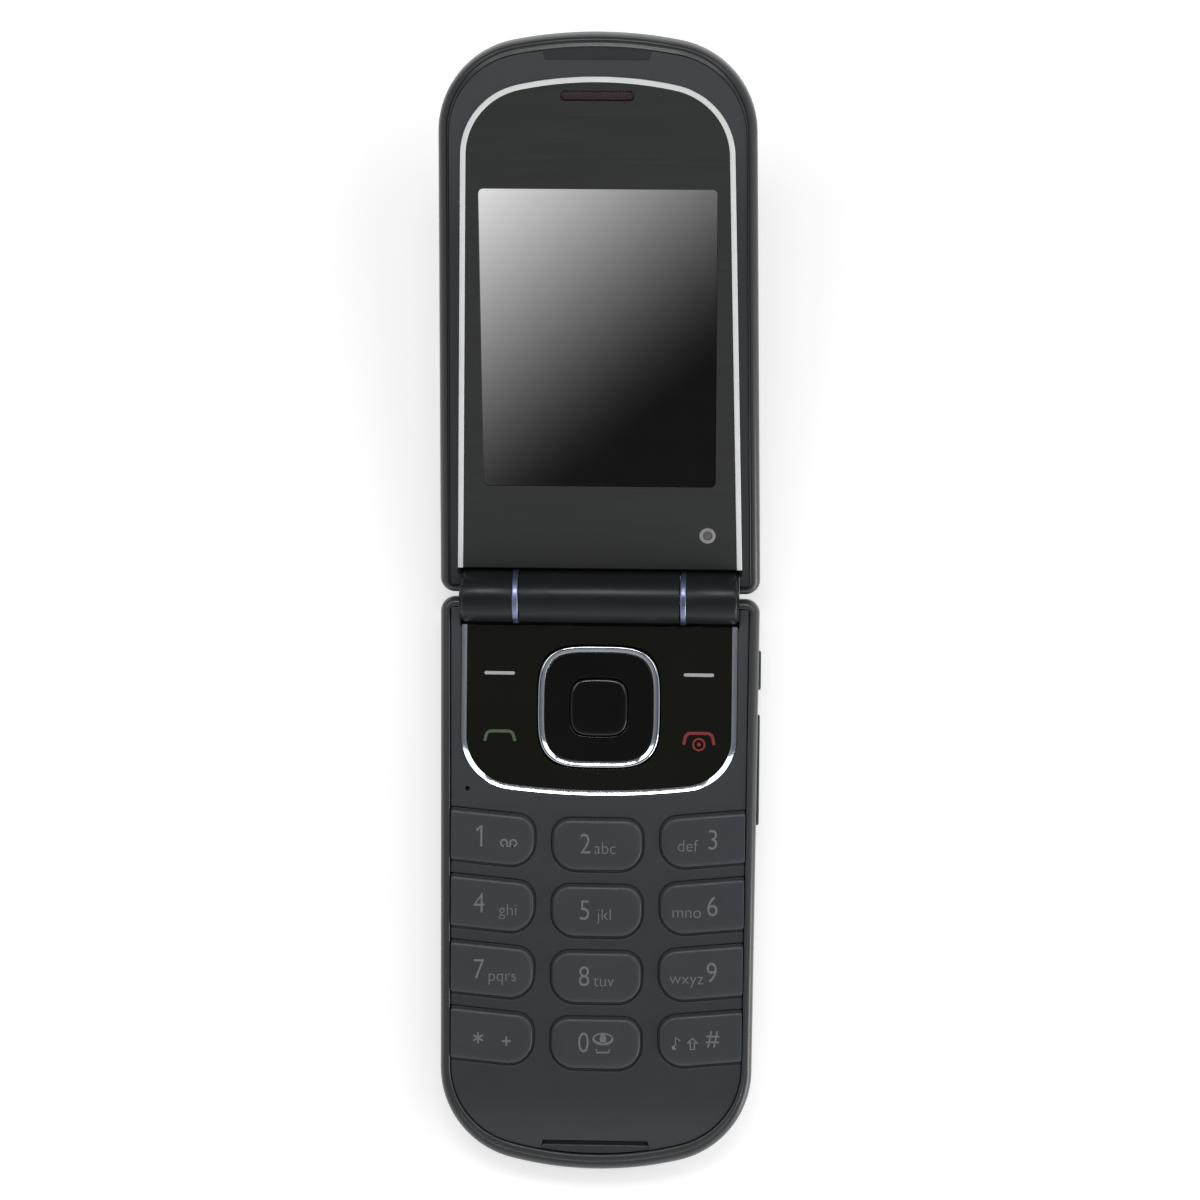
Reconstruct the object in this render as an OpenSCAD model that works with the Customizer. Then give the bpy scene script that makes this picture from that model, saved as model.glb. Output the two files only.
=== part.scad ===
// Folding mobile phone with a hinged lid, shown open.
// Both halves are drawn as leaves in one frame: y runs from the hinge axis to
// the far end, z is height above the plane where the closed halves meet, and
// the inner face looks up. The base leaf is then mirrored and the lid leaf
// is turned up about the hinge axis.

/* [Body] */
// Width of both halves beside the hinge
body_w = 48.4; // [44:0.1:53]
// Narrowing of the base from the hinge to its far corners
base_taper = 1; // [0.4:0.1:1.6]
// Narrowing of the lid from the hinge to its far corners
lid_taper = 2.4; // [1.8:0.1:3]
// Hinge axis to the far end of the base
base_reach = 87.3; // [79:0.1:95]
// Hinge axis to the far end of the lid
lid_reach = 85.8; // [78:0.1:94]
// Parting plane to the back of the base
base_t = 9.4; // [9.2:0.1:11]
// Parting plane to the outside of the lid
lid_t = 6.9; // [6.8:0.1:8]
// Radius of the base's far corners
corner_r = 14.2; // [13.4:0.1:15]
// Radius of the lid's far corners
lid_corner_r = 13.6; // [13:0.1:14.4]
// Radius of the arc across the far end
end_r = 54; // [50:1:60]
// Radius of the arc across the lid's far end
lid_end_r = 62; // [58:1:68]
// Radius of the ears beside the barrel, seen from the front
ear_r = 2.2; // [1.2:0.1:2.6]
// How far the sides turn in towards the back
back_turn = 4.2; // [3.6:0.1:4.4]
// Depth of the widest line below the parting plane
belly = 2.6; // [2:0.1:3]
// Rounding of the rim's outer edge
rim_r = 0.5; // [0.3:0.05:0.6]
// Gap from the parting plane to each rim
rim_gap = 0.25; // [0.2:0.05:0.3]
// Gap between each ear's end and the hinge axis
ear_gap = 0.3; // [0.25:0.05:0.5]

/* [Covers] */
// Width of the rim beside the inner covers
rim_side = 1.5; // [1.4:0.05:1.7]
// Width of the rim across the far end of the base
rim_end = 2.4; // [2.2:0.05:2.6]
// Width of the rim across the far end of the lid
lid_rim_end = 1.6; // [1.4:0.05:1.8]
// Thickness of the two inner covers
cover_t = 1.2; // [1.1:0.05:1.3]
// Depth of the inner covers' faces below the parting plane
cover_drop = 0.45; // [0.4:0.05:0.5]
// Outer wall of the lid
lid_wall = 1.3; // [1.2:0.05:1.4]
// Seam between pieces that meet edge to edge
seam = 0.1; // [0.06:0.02:0.14]
// Width of the finger tab at each far end
tab_w = 16.8; // [13:0.2:18]
// Length of the finger tab along the leaf
tab_l = 1.9; // [1.8:0.1:2.3]
// Gap between the front cover and the base's finger tab
tab_gap = 0.6; // [0.4:0.05:0.75]

/* [Hinge] */
// Angle of the open lid above the plane of the base
lid_rise = 20; // [10:1:25]
// Radius of the barrel
barrel_r = 3.9; // [3.8:0.05:4]
// Width of the ears beside the barrel
ear_w = 3.1; // [2.8:0.1:3.4]
// Length of each barrel end on the base
end_barrel_l = 7.7; // [7.2:0.1:8.2]
// Width of the bright rings in the barrel
ring_w = 0.9; // [0.8:0.05:1]
// How far the rings stand proud of the barrel
ring_proud = 0.18; // [0.1:0.02:0.2]
// Bore of the lid's part of the barrel
barrel_bore_r = 2.65; // [2.6:0.01:2.7]
// Clearance of pieces that turn or slide in one another
run_gap = 0.05; // [0.03:0.01:0.08]
// Gap round the barrel and at its ends
barrel_gap = 0.3; // [0.3:0.02:0.4]
// Radius of the hinge shaft
shaft_r = 1.2; // [1.1:0.05:1.3]

/* [Display side] */
// Width of the silver line round the display panel
trim_w = 0.8; // [0.72:0.02:0.88]
// Side of the lid to the silver line
trim_margin = 2.75; // [2.65:0.05:2.95]
// Far end of the lid to the silver line
trim_end = 5.95; // [5.6:0.05:6.4]
// Corner radius of the silver line
trim_r = 10.8; // [10:0.1:11.6]
// Silver line's outer edge to the side of the display opening
display_side = 4.1; // [4:0.05:4.6]
// Silver line's top to the top of the display opening
display_top = 16.55; // [15.8:0.05:18]
// Hinge axis to the lower edge of the display opening
display_y = 17.6; // [17.2:0.1:18]
// Thickness of the display panel and its lens
panel_t = 0.8; // [0.7:0.05:0.85]
// Depth of the display panel's face below the parting plane
panel_drop = 0.4; // [0.35:0.05:0.45]
// Length of the earpiece slot
ear_slot_l = 10.6; // [9:0.1:12]
// Height of the earpiece slot
ear_slot_h = 1.55; // [1.3:0.05:1.8]
// Silver line's top to the middle of the earpiece slot
ear_slot_in = 2.8; // [2.65:0.05:3.3]
// Diameter of the small camera beside the hinge
video_d = 2.5; // [2.2:0.1:2.8]

/* [Keys] */
// Hinge axis to the first row's middle
row_y = 37.65; // [37.5:0.05:38.2]
// Far end of the base to the last row's middle
keys_end = 19.38; // [18.9:0.01:19.8]
// Gap from row to row
row_gap = 2.34; // [2.2:0.02:2.8]
// Width of a middle key as a share of the body's width
mid_key_share = 0.278; // [0.26:0.002:0.282]
// Gap from column to column
column_gap = 2.94; // [2.8:0.02:3.2]
// Radius of a key's upper corners as a share of its height
key_round = 0.335; // [0.28:0.005:0.38]
// Radius of a key's lower corners as a share of its height
key_low_round = 0.46; // [0.4:0.005:0.48]
// Radius at which the key rows bend towards the hinge
row_bend_r = 178; // [165:1:240]
// Gap round a key
key_gap = 0.3; // [0.26:0.01:0.32]
// Height of the key tops below the parting plane
key_drop = 0.05; // [0.04:0.01:0.15]
// Travel of a key
key_travel = 0.35; // [0.3:0.01:0.36]
// Width of the navigation key over its bright rim
nav_w = 18.5; // [17:0.1:20]
// Width of the bright rim
nav_rim_w = 0.92; // [0.8:0.02:1]
// Hinge axis to the middle of the navigation key
nav_y = 16.65; // [16.5:0.05:16.8]
// Width of the select key
select_w = 8.7; // [8:0.1:9.2]
// Width of the bright bow round the function keys
bow_w = 0.9; // [0.8:0.05:1]
// Side of the base to the bright bow
bow_margin = 3.35; // [3.3:0.05:3.4]
// Hinge axis to the lowest point of the bright bow
bow_reach = 30.1; // [29.8:0.1:30.3]
// Corner radius of the bright bow
bow_r = 8.1; // [7.6:0.1:8.6]
// Radius of the bright bow's lower edge
bow_end_r = 115; // [105:1:125]
// Length of the volume rocker
rocker_l = 16.9; // [15:0.1:17.2]
// Length of the camera key
shutter_l = 6; // [5:0.1:6.4]
// How far the side keys stand out of the wall
side_proud = 0.35; // [0.25:0.05:0.4]

/* [Inside] */
// Thickness of the main board
board_t = 0.8; // [0.7:0.05:0.85]
// Side of the base to the battery
battery_margin = 7.2; // [7:0.1:8]
// Far end of the base to the battery bay
bay_end = 14.5; // [14:0.1:16]
// Thickness of the battery cover
door_t = 1; // [0.9:0.05:1.1]
// Side of the base to the battery cover
door_margin = 4.7; // [4.6:0.1:5.2]
// Hinge axis to the upper edge of the battery cover
door_y = 24; // [23:0.1:25]
// Radius of the screws' threads
screw_r = 0.5; // [0.4:0.05:0.55]

/* [Hidden] */
$fn = 48;
over = 1;
half_w = body_w / 2;
hinge_y = base_reach / 2;
hinge_z = base_t;

// Covers
notch_room = 0.45;
notch_half = half_w - ear_w;
notch_y = barrel_r + notch_room;
cover_z = -cover_drop - cover_t;
cavity_z = -4.4;
lid_floor = -lid_t + lid_wall;
least_r = 0.3;
tab_lap = 0.4;
tab_back_gap = 0.2;
tab_slant = 0.94;
lid_tab_in = 0.5;
tab_sink = 0.3;
lid_tab_drop = 0.15;
pocket_gap = 0.05;
board_post_r = 1.2;
board_post_x = 12;
board_post_y = 27.5;
board_post_far = 8;
board_post_ys = [board_post_y, base_reach - board_post_far];

// Hinge
barrel_half = notch_half - barrel_gap;
base_barrel_x = barrel_half - end_barrel_l;
ring_x = base_barrel_x - ring_w;
mid_half = ring_x - seam;
end_bevel = 0.25;
end_face_in = 0.8;
end_round_l = 0.7;
end_step_l = 0.2;
shaft_seat_l = 5.4;
shaft_head_w = 0.4;
shaft_head_r = shaft_r + shaft_head_w;
tube_seat_l = 5;
seat_room = 0.2;
foot_in = 0.5;
foot_y0 = 1.5;
foot_y1 = 8.3;
foot_top = -2.3;
foot_wall = 0.6;
lid_foot_y1 = 8.2;
lid_foot_room = 0.15;
lid_foot_top = cover_z - lid_foot_room;
lid_foot_floor = -3.1;
lid_leg_w = 3;
lid_leg_y0 = 4.6;
can_wall = 0.8;
can_l = 10.5;
can_x = mid_half - can_l;
can_bore_r = 1.9;
cam_r = 1.85;
cam_in = 3.1;
cam_x = mid_half - cam_in;
cam_l = 2.1;
follower_in = 5.4;
follower_x = mid_half - follower_in;
follower_l = 2.25;
shaft_tip_in = 1.4;
shaft_tip_x = can_x + shaft_tip_in;
tube_bore_r = 2;
tube_can_gap = 5.6;
tube_end_x = can_x - tube_can_gap;
flex_r = 1.7;
flex_t = 0.2;
flex_can_gap = 0.8;
flex_end_x = can_x - flex_can_gap;
flex_w = 4.2;
flex_tail = 4.5;
flex_reach = 13.4;
flex_low = -2.1;
flex_slot_gap = 0.3;
flex_bend = 0.5;
spring_turns = 5;
spring_steps = 12;
spring_sides = 6;
spring_coil_r = 1.56;
spring_wire_r = 0.2;
spring_end_gap = 0.02;

// Display side
panel_z = -panel_drop - panel_t;
trim_half = half_w - trim_margin;
trim_reach = lid_reach - trim_end;
trim_taper = 1.6;
trim_proud = 0.1;
display_half = trim_half - display_side;
display_end = trim_reach - display_top;
display_r = 0.8;
lens_drop = 0.08;
module_side = 0.55;
module_low = 3.9;
module_high = 2.6;
module_z = -3.3;
module_gap = 0.3;
slot_r = 0.46 * ear_slot_h;
mesh_drop = 0.35;
ear_slot_y = trim_reach - ear_slot_in;
earpiece_side = 0.7;
earpiece_low = 3.45;
earpiece_high = 1.75;
earpiece_z = -3.4;
earpiece_gap = 0.2;
video_in = 5.25;
video_x = trim_half - video_in;
video_y = 9.9;
video_ring_w = 0.55;
video_proud = 0.04;
video_lens_drop = 0.1;
video_box = [-3, 1.8, -2.6, 2.4];
video_z = -3;
lid_board_margin = 7.3;
lid_board_half = half_w - lid_board_margin;
lid_board_y = 12;
lid_board_far = 13;
lid_board_end = lid_reach - lid_board_far;
lid_board_z = -4.1;
lid_board_t = 0.7;
window_margin = 10.7;
window_half = half_w - window_margin;
window_y = 26;
window_far = 28;
window_end = lid_reach - window_far;
window_r = 3;
window_t = 0.75;
window_lip_x = 2;
window_lip_y = 3;
camera_far = 18.5;
camera_y = lid_reach - camera_far;
camera_ring_r = 5.2;
camera_glass_r = 3.6;
camera_body_r = 4.1;
camera_hole_r = 4.2;
camera_proud = 0.15;
camera_glass_drop = 0.1;
lid_screw_margin = 5;
lid_screw_x = half_w - lid_screw_margin;
lid_screw_y = 14.6;
lid_screw_far_margin = 5.8;
lid_screw_far_x = half_w - lid_screw_far_margin;
lid_screw_far = 17.5;
lid_screw_far_y = lid_reach - lid_screw_far;
lid_screw_spots = [for (s = [-1, 1]) each
    [[s * lid_screw_x, lid_screw_y], [s * lid_screw_far_x, lid_screw_far_y]]];
lid_boss_r = 1.2;
lid_head_r = 0.95;
lid_head_room = 0.2;
lid_head_seat = cover_z + lid_head_room;
lid_thread_floor = 1.4;
lid_thread_z = lid_floor + lid_thread_floor;

// Keys
KEY_NAMES = ["key_1", "key_2", "key_3", "key_4", "key_5", "key_6",
             "key_7", "key_8", "key_9", "key_star", "key_0", "key_hash"];
row_pitch = (base_reach - keys_end - row_y) / 3;
last_row_y = row_y + 3 * row_pitch;
key_h = row_pitch - row_gap;
key_r = key_h * key_round;
key_low_r = key_h * key_low_round;
mid_key_w = body_w * mid_key_share;
side_key_x = mid_key_w / 2 + column_gap;
key_edge_r = 0.35;
key_edge = [[0, 0.45], [0.12, 0.16], [0.42, 0]];
nav_edge = [[0, 0.4], [0.14, 0.12], [0.38, 0]];
select_edge = [[0, 0.22], [0.1, 0.08], [0.35, 0]];
select_proud = 0.22;
flange_gap = 0.1;
flange_z = cover_z - flange_gap;
flange_t = 0.4;
flange_grow = 0.65;
nub_r = 1.2;
nub_h = 0.2;
nub_z = flange_z - flange_t - nub_h;
nub_lap = 0.2;
plate_bottom = -1.5;
bow_half = half_w - bow_margin;
bow_proud = 0.25;
bow_seam = 0.12;
function_gap = 0.06;
function_x = (nav_w + 2 * bow_half) / 4;
soft_y = 11.7;
call_y = 21.5;
nav_gap = 0.2;
nav_pad_gap = 0.03;
select_gap = 0.15;
select_up = -0.05;
select_y = nav_y - select_up;
nav_press = (nav_w / 2 - nav_rim_w + select_w / 2) / 2;
nav_nub_r = 0.9;
key_mid_x = (side_key_x + cover_side_x(row_y)) / 2;
side_key_h = 1.8;
side_key_r = 0.7;
side_key_z = cavity_z + seam + side_key_h / 2;
side_key_in = 0.25;
side_flange_t = 0.4;
side_bevel_turn = 20;
side_flange_top = nub_z - key_travel - run_gap;
rocker_y = 26.15;
shutter_y = 11;
mic_in = 0.95;
mic_x = -bow_half + mic_in;
mic_up = 0.8;
mic_y = bow_reach - mic_up;
mic_hole_r = 0.33;
mic_r = 0.8;
mic_t = 1.1;

// Inside the base
bay_top = -5;
bay_y = 31.5;
bay_gap = 0.25;
battery_half = half_w - battery_margin;
battery_far_y = base_reach - bay_end - bay_gap;
battery_r = 1.2;
door_z = -base_t + door_t;
door_half = half_w - door_margin;
door_r = 2;
door_past = 11;
contact_spots = [-3, 0, 3];
contact_w = 1.2;
contact_y = 25.2;
contact_z = -6.6;
contact_h = 1;
contact_slot_y = 24;
pocket_margin = 5.2;
pocket_half = half_w - pocket_margin;
pocket_y = 9;
pocket_end_y = 25;
pocket_wall = 1.2;
pocket_floor = -base_t + pocket_wall;
speaker_half = 8;
speaker_y = 11.5;
speaker_end_y = 22.5;
speaker_top = -5.2;
speaker_r = 2;
grille_pitch = 2;
grille_half = 4;
grille_slot_w = 0.8;
grille_y = 13;
grille_end_y = 21;
antenna_x = -9.2;
antenna_margin = 5.8;
antenna_half = half_w - antenna_margin;
antenna_y = 10;
antenna_end_y = 24;
motor_r = 2;
motor_x = 9.5;
motor_margin = 6.2;
motor_end_x = half_w - motor_margin;
motor_y = 17;
board_top = -3.1;
board_margin = 5.6;
board_half = half_w - board_margin;
board_y = 8.6;
board_far = 6.5;
board_end = base_reach - board_far;
board_hole_r = 1.4;
board_end_r = 5;
switch_spread = 6.5;
switch_half = 1.5;
switch_in = 1.1;
switch_h = 0.3;
sheet_inset = 0.2;
sheet_past = 5.9;
sheet_end = last_row_y + sheet_past;
dome_sheet_t = 0.15;
dome_h = 0.2;
dome_r = 1.9;
dome_top_r = 1.1;
small_r = 0.8;
shield_margin = 11.2;
can_half = half_w - shield_margin;
can_y = 33;
shield_past = 1.9;
can_end = last_row_y + shield_past;
socket_y = 12.6;
socket_l = 7.6;
socket_dome_gap = 0.4;
socket_in = function_x + dome_r + socket_dome_gap;
socket_wall = 0.4;
socket_top = -2.05;
socket_tongue_l = 4.8;
socket_tongue_z = -3.4;
socket_mouth_l = socket_l - 2 * socket_wall;
screw_margin = 6.3;
screw_y = 29.2;
screw_far_margin = 8.2;
screw_far = 10;
screw_spots = [for (s = [-1, 1]) each
    [[s * (half_w - screw_margin), screw_y],
     [s * (half_w - screw_far_margin), base_reach - screw_far]]];
screw_head_r = 1.25;
screw_head_t = 0.8;
screw_seat_in = 0.6;
screw_seat = bay_top - screw_seat_in;
screw_bore_r = 1.4;
screw_tip_gap = 0.8;
screw_tip = cover_z - screw_tip_gap;
boss_r = 1.15;
boss_roof = 0.5;
boss_bore_top = cover_z - boss_roof;
boss_lap = 0.2;

// Middles of all the press points under the keys
press_points = concat(
    [for (i = [0 : 11]) key_middle(i)],
    [for (s = [-1, 1]) for (y = [soft_y, call_y]) [s * function_x, y]],
    nav_points(),
    [[0, select_y]]);

// Points of outlines

function unit(v) = v / norm(v);

// Arc from angle a to angle b, without its last point when open is true
function arc(centre, r, a, b, n, open = false) =
    [for (i = [0 : open ? n - 1 : n])
        centre + r * [cos(a + (b - a) * i / n), sin(a + (b - a) * i / n)]];

// A right-hand half outline joined to its mirror image at the middle point apex
function both_sides(half, apex) =
    concat(half, [apex], [for (i = [len(half) - 1 : -1 : 0]) [-half[i][0], half[i][1]]]);

// Outline of a leaf: ears by the hinge, sides that narrow to tip, round
// corners and an arc across the far end, all tangent to each other
function leaf_outline(w, tip, reach, rc, re, start, ear) =
    let (corner_x = tip - rc,
         end_y = reach - re,
         corner_y = end_y + sqrt(pow(re - rc, 2) - pow(corner_x, 2)),
         from_ear = [w - corner_x, start - corner_y],
         lean = atan2(from_ear[1], from_ear[0]) + acos(rc / norm(from_ear)),
         join = atan2(corner_y - end_y, corner_x))
    both_sides(concat(
        arc([w - ear, start + ear], ear, -90, 0, 4),
        arc([corner_x, corner_y], rc, lean, join, 9, open = true),
        arc([0, end_y], re, join, 90, 7, open = true)), [0, reach]);

// Outline of the base or lid, set in by side along the sides and by end at the far end
function body_outline(reach, taper, corner, far, side, end) =
    leaf_outline(half_w - side, half_w - taper / 2 - side, reach - end,
        corner - (side + end) / 2, far - end, ear_gap + side, max(ear_r - side, least_r));

function base_outline(side, end) =
    body_outline(base_reach, base_taper, corner_r, end_r, side, end);

function lid_outline(side, end) =
    body_outline(lid_reach, lid_taper, lid_corner_r, lid_end_r, side, end);

// Outline of the silver line, set in by inset
function trim_outline(inset) =
    leaf_outline(trim_half - inset, trim_half - trim_taper - inset, trim_reach - inset,
        trim_r - inset, end_r - inset, notch_y + seam - over, least_r);

// Outline of the bright bow, set in by inset
function bow_outline(inset) =
    leaf_outline(bow_half - inset, bow_half - inset, bow_reach - inset,
        bow_r - inset, bow_end_r - inset, notch_y - over, least_r);

// Rounded square whose sides swell
function squircle(half, y, power = 3.8, n = 40) =
    [for (i = [0 : n - 1])
        let (c = cos(360 * i / n), s = sin(360 * i / n))
        [half * sign(c) * pow(abs(c), 2 / power), y + half * sign(s) * pow(abs(s), 2 / power)]];

// Fillet of radius r at corner p between its neighbours a and b
function fillet(p, a, b, r, n = 5) =
    let (u = unit(a - p), v = unit(b - p), half = acos(u * v) / 2,
         centre = p + unit(u + v) * r / sin(half),
         s = p + u * r / tan(half) - centre, e = p + v * r / tan(half) - centre,
         from = atan2(s[1], s[0]),
         sweep = (atan2(e[1], e[0]) - from + 900) % 360 - 180)
    arc(centre, r, from, from + sweep, n);

// A polygon with a fillet of its own at each corner
function filleted(points, radii) =
    let (n = len(points))
    [for (i = [0 : n - 1])
        for (q = fillet(points[i], points[(i + n - 1) % n], points[(i + 1) % n], radii[i])) q];

function rounded_box(x0, x1, y0, y1, r) =
    filleted([[x0, y0], [x1, y0], [x1, y1], [x0, y1]], [r, r, r, r]);

// A rounded box that is as wide on both sides of the middle line
function centred_box(half, y0, y1, r) = rounded_box(-half, half, y0, y1, r);

// The display opening, set in by inset
function display_outline(inset) =
    centred_box(display_half - inset, display_y + inset, display_end - inset, display_r - inset);

// The earpiece slot, set in by inset
function ear_slot_outline(inset) =
    centred_box(ear_slot_l / 2 - inset, ear_slot_y - ear_slot_h / 2 + inset,
        ear_slot_y + ear_slot_h / 2 - inset, slot_r - inset);

// The recess of the outer window, set in by inset
function window_outline(inset) =
    centred_box(window_half - inset, window_y + inset, window_end - inset, window_r - inset);

// The display module, grown by grow
function module_outline(grow) =
    centred_box(display_half + module_side + grow, display_y - module_low - grow,
        display_end + module_high + grow, small_r);

// The earpiece's case, grown by grow
function earpiece_outline(grow) =
    centred_box(ear_slot_l / 2 + earpiece_side + grow, ear_slot_y - earpiece_low - grow,
        ear_slot_y + earpiece_high + grow, small_r);

// Half-width of the inner cover of the base at distance y from the hinge
function cover_side_x(y) =
    half_w - rim_side - base_taper / 2 * y / (base_reach - rim_end - corner_r);

// How far the key rows have come towards the hinge at x
function row_rise(x) = pow(x, 2) / (2 * row_bend_r);

// Outline of key i, grown on every side but the one at the rim, which gets out
function key_outline(i, grow, out = 0) =
    let (column = i % 3 - 1,
         y = row_y + floor(i / 3) * row_pitch, h = key_h / 2 + grow, w = mid_key_w / 2 + grow,
         r = key_r + grow, low_r = key_low_r + grow,
         x_in = side_key_x - grow, x_out = cover_side_x(y) - seam + out,
         y_in = y - row_rise(x_in), y_out = y - row_rise(x_out))
    column == 0 ? filleted(
        [[-w, y - h], [w, y - h], [w, y + h], [-w, y + h]], [r, r, low_r, low_r])
    : column > 0 ? filleted(
        [[x_in, y_in - h], [x_out, y_out - h], [x_out, y_out + h], [x_in, y_in + h]],
        [r, key_edge_r, key_edge_r, low_r])
    : filleted(
        [[-x_out, y_out - h], [-x_in, y_in - h], [-x_in, y_in + h], [-x_out, y_out + h]],
        [key_edge_r, r, low_r, key_edge_r]);

// Middle of key i
function key_middle(i) =
    let (x = (i % 3 - 1) * key_mid_x)
    [x, row_y + floor(i / 3) * row_pitch - row_rise(x)];

// The four press points of the navigation key
function nav_points() =
    [for (a = [0 : 90 : 270]) [nav_press * cos(a), nav_y + nav_press * sin(a)]];

// Solids from outlines

module prism(points, low, high)
    translate([0, 0, low]) linear_extrude(high - low) polygon(points);

module block(x0, x1, y0, y1, low, high)
    translate([x0, y0, low]) cube([x1 - x0, y1 - y0, high - low]);

module post(spot, r, low, high)
    translate([spot[0], spot[1], low]) cylinder(r = r, h = high - low);

// A round bar along x
module bar(r, x0, x1)
    translate([x0, 0, 0]) rotate([0, 90, 0]) cylinder(r = r, h = x1 - x0);

// What is drawn on the right, on the given side
module on_side(side) mirror([side < 0 ? 1 : 0, 0, 0]) children();

// Skin through outlines of equal length, stacked upwards at the given heights
module loft(outlines, heights) {
    n = len(outlines[0]);
    last = (len(outlines) - 1) * n;
    points = [for (k = [0 : len(outlines) - 1]) for (p = outlines[k]) [p[0], p[1], heights[k]]];
    sides = [for (k = [0 : len(outlines) - 2]) for (i = [0 : n - 1])
        let (a = k * n + i, b = k * n + (i + 1) % n)
        for (f = [[a, a + n, b + n], [a, b + n, b]]) f];
    polyhedron(points, concat(sides, [[for (i = [0 : n - 1]) i]],
        [[for (i = [n - 1 : -1 : 0]) last + i]]));
}

// Profile of an outer cover from its back up to its rim: how far in, and how high
function shell_profile(t) = concat(
    [for (a = [90 : -15 : 0]) [back_turn * (1 - cos(a)), -belly - (t - belly) * sin(a)]],
    [for (a = [0 : 30 : 90]) [rim_r * (1 - cos(a)), -rim_gap - rim_r * (1 - sin(a))]]);

module base_shell()
    let (profile = shell_profile(base_t))
    loft([for (p = profile) base_outline(p[0], p[0])], [for (p = profile) p[1]]);

module lid_shell()
    let (profile = shell_profile(lid_t))
    loft([for (p = profile) lid_outline(p[0], p[0])], [for (p = profile) p[1]]);

// Room for the barrel between the ears of a leaf, down to floor
module barrel_notch(floor) {
    block(-notch_half, notch_half, -over - barrel_gap, notch_y + over, floor, over);
    bar(barrel_r + barrel_gap, -notch_half, notch_half);
}

// The same room cut out of a flat inner piece, ending at end
module cover_notch(low, end)
    block(-notch_half, notch_half, -over - barrel_gap, end, low - over, over);

// Placing of the two leaves
module on_base() translate([0, hinge_y, hinge_z]) mirror([0, 1, 0]) children();
module on_lid() translate([0, hinge_y, hinge_z]) rotate([lid_rise, 0, 0]) children();

// Base

// Finger tab that ends at y, grown by grow at its sides and by gap towards the hinge
module finger_tab(y, grow, gap, low, high)
    prism([for (p = [[1, 0], [tab_slant, -1], [-tab_slant, -1], [-1, 0]])
        [p[0] * tab_w / 2 + sign(p[0]) * grow, y + p[1] * (tab_l + gap)]], low, high);

module side_slot(y, l)
    block(half_w - rim_side - over, half_w + over, y - l / 2 - seam, y + l / 2 + seam,
        side_key_z - side_key_h / 2 - seam, side_key_z + side_key_h / 2 + seam);

module base_rear_cover() color("#303437") on_base() {
    difference() {
        base_shell();
        prism(base_outline(rim_side, rim_end), cavity_z, over);
        barrel_notch(cavity_z);
        block(-pocket_half, pocket_half, pocket_y, pocket_end_y, pocket_floor, cavity_z + over);
        block(-battery_half - bay_gap, battery_half + bay_gap,
            bay_y, battery_far_y + bay_gap, -base_t - over, bay_top);
        prism(centred_box(door_half + seam, door_y - seam, base_reach + door_past + seam, door_r),
            -base_t - over, door_z + seam);
        for (s = screw_spots) {
            post(s, screw_bore_r, -base_t, screw_seat);
            post(s, screw_r + seam, -base_t, cavity_z + over);
        }
        for (x = contact_spots)
            block(x - contact_w / 2 - seam, x + contact_w / 2 + seam, contact_slot_y, bay_y + over,
                contact_z - seam, contact_z + contact_h + seam);
        for (x = [-grille_half : grille_pitch : grille_half])
            block(x - grille_slot_w / 2, x + grille_slot_w / 2, grille_y, grille_end_y,
                -base_t - over, pocket_floor + over);
        side_slot(rocker_y, rocker_l);
        side_slot(shutter_y, shutter_l);
        on_side(-1) side_slot(socket_y, socket_mouth_l);
    }
    intersection() {
        finger_tab(base_reach - rim_end + tab_lap, 0, 0, cavity_z - tab_sink, -cover_drop);
        prism(base_outline(rim_side + tab_back_gap, rim_end + tab_back_gap), -base_t, 0);
    }
    for (x = [-board_post_x, board_post_x]) for (y = board_post_ys)
        post([x, y], board_post_r, cavity_z - tab_sink, board_top - board_t);
}

module base_front_cover() color("#3b4044") on_base() {
    difference() {
        prism(base_outline(rim_side + seam, rim_end + seam), cover_z, -cover_drop);
        cover_notch(cover_z, notch_y);
        prism(bow_outline(-pocket_gap), cover_z - over, over);
        for (i = [0 : 11]) prism(key_outline(i, key_gap, rim_side), cover_z - over, over);
        finger_tab(base_reach - rim_end + tab_lap, seam, tab_gap, cover_z - over, over);
        post([mic_x, mic_y], mic_hole_r, cover_z - over, over);
    }
    for (s = screw_spots) difference() {
        post(s, boss_r, cavity_z, cover_z + boss_lap);
        post(s, screw_r + run_gap, cavity_z - over, boss_bore_top);
    }
}

module bright_bow() color("#d8dadb") on_base() difference() {
    prism(bow_outline(0), cover_z, -cover_drop + bow_proud);
    prism(bow_outline(bow_w), cover_z - over, over);
    cover_notch(cover_z, notch_y);
}

// The right one of the two glossy rockers beside the navigation key
module function_key() difference() {
    union() {
        difference() {
            prism(bow_outline(bow_w + bow_seam), plate_bottom, -panel_drop);
            block(-half_w, function_gap, 0, base_reach, plate_bottom - over, over);
            cover_notch(plate_bottom, notch_y + seam);
        }
        for (y = [soft_y, call_y]) post([function_x, y], nub_r, nub_z, plate_bottom + nub_lap);
    }
    prism(squircle(nav_w / 2 + nav_gap, nav_y), nub_z, over);
}

module function_key_left() color("#0c0d0e") on_base() on_side(-1) function_key();
module function_key_right() color("#0c0d0e") on_base() function_key();

// Rounded square from the function keys' underside to top, with a rounded upper edge
module rounded_squircle(half, y, edge, top)
    loft(concat([squircle(half, y)], [for (e = edge) squircle(half - e[0], y)]),
        concat([plate_bottom], [for (e = edge) top - e[1]]));

module nav_rim() color("#e2e4e5") on_base() difference() {
    rounded_squircle(nav_w / 2, nav_y, nav_edge, -key_drop);
    prism(squircle(nav_w / 2 - nav_rim_w, nav_y), plate_bottom - over, over);
}

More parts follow.
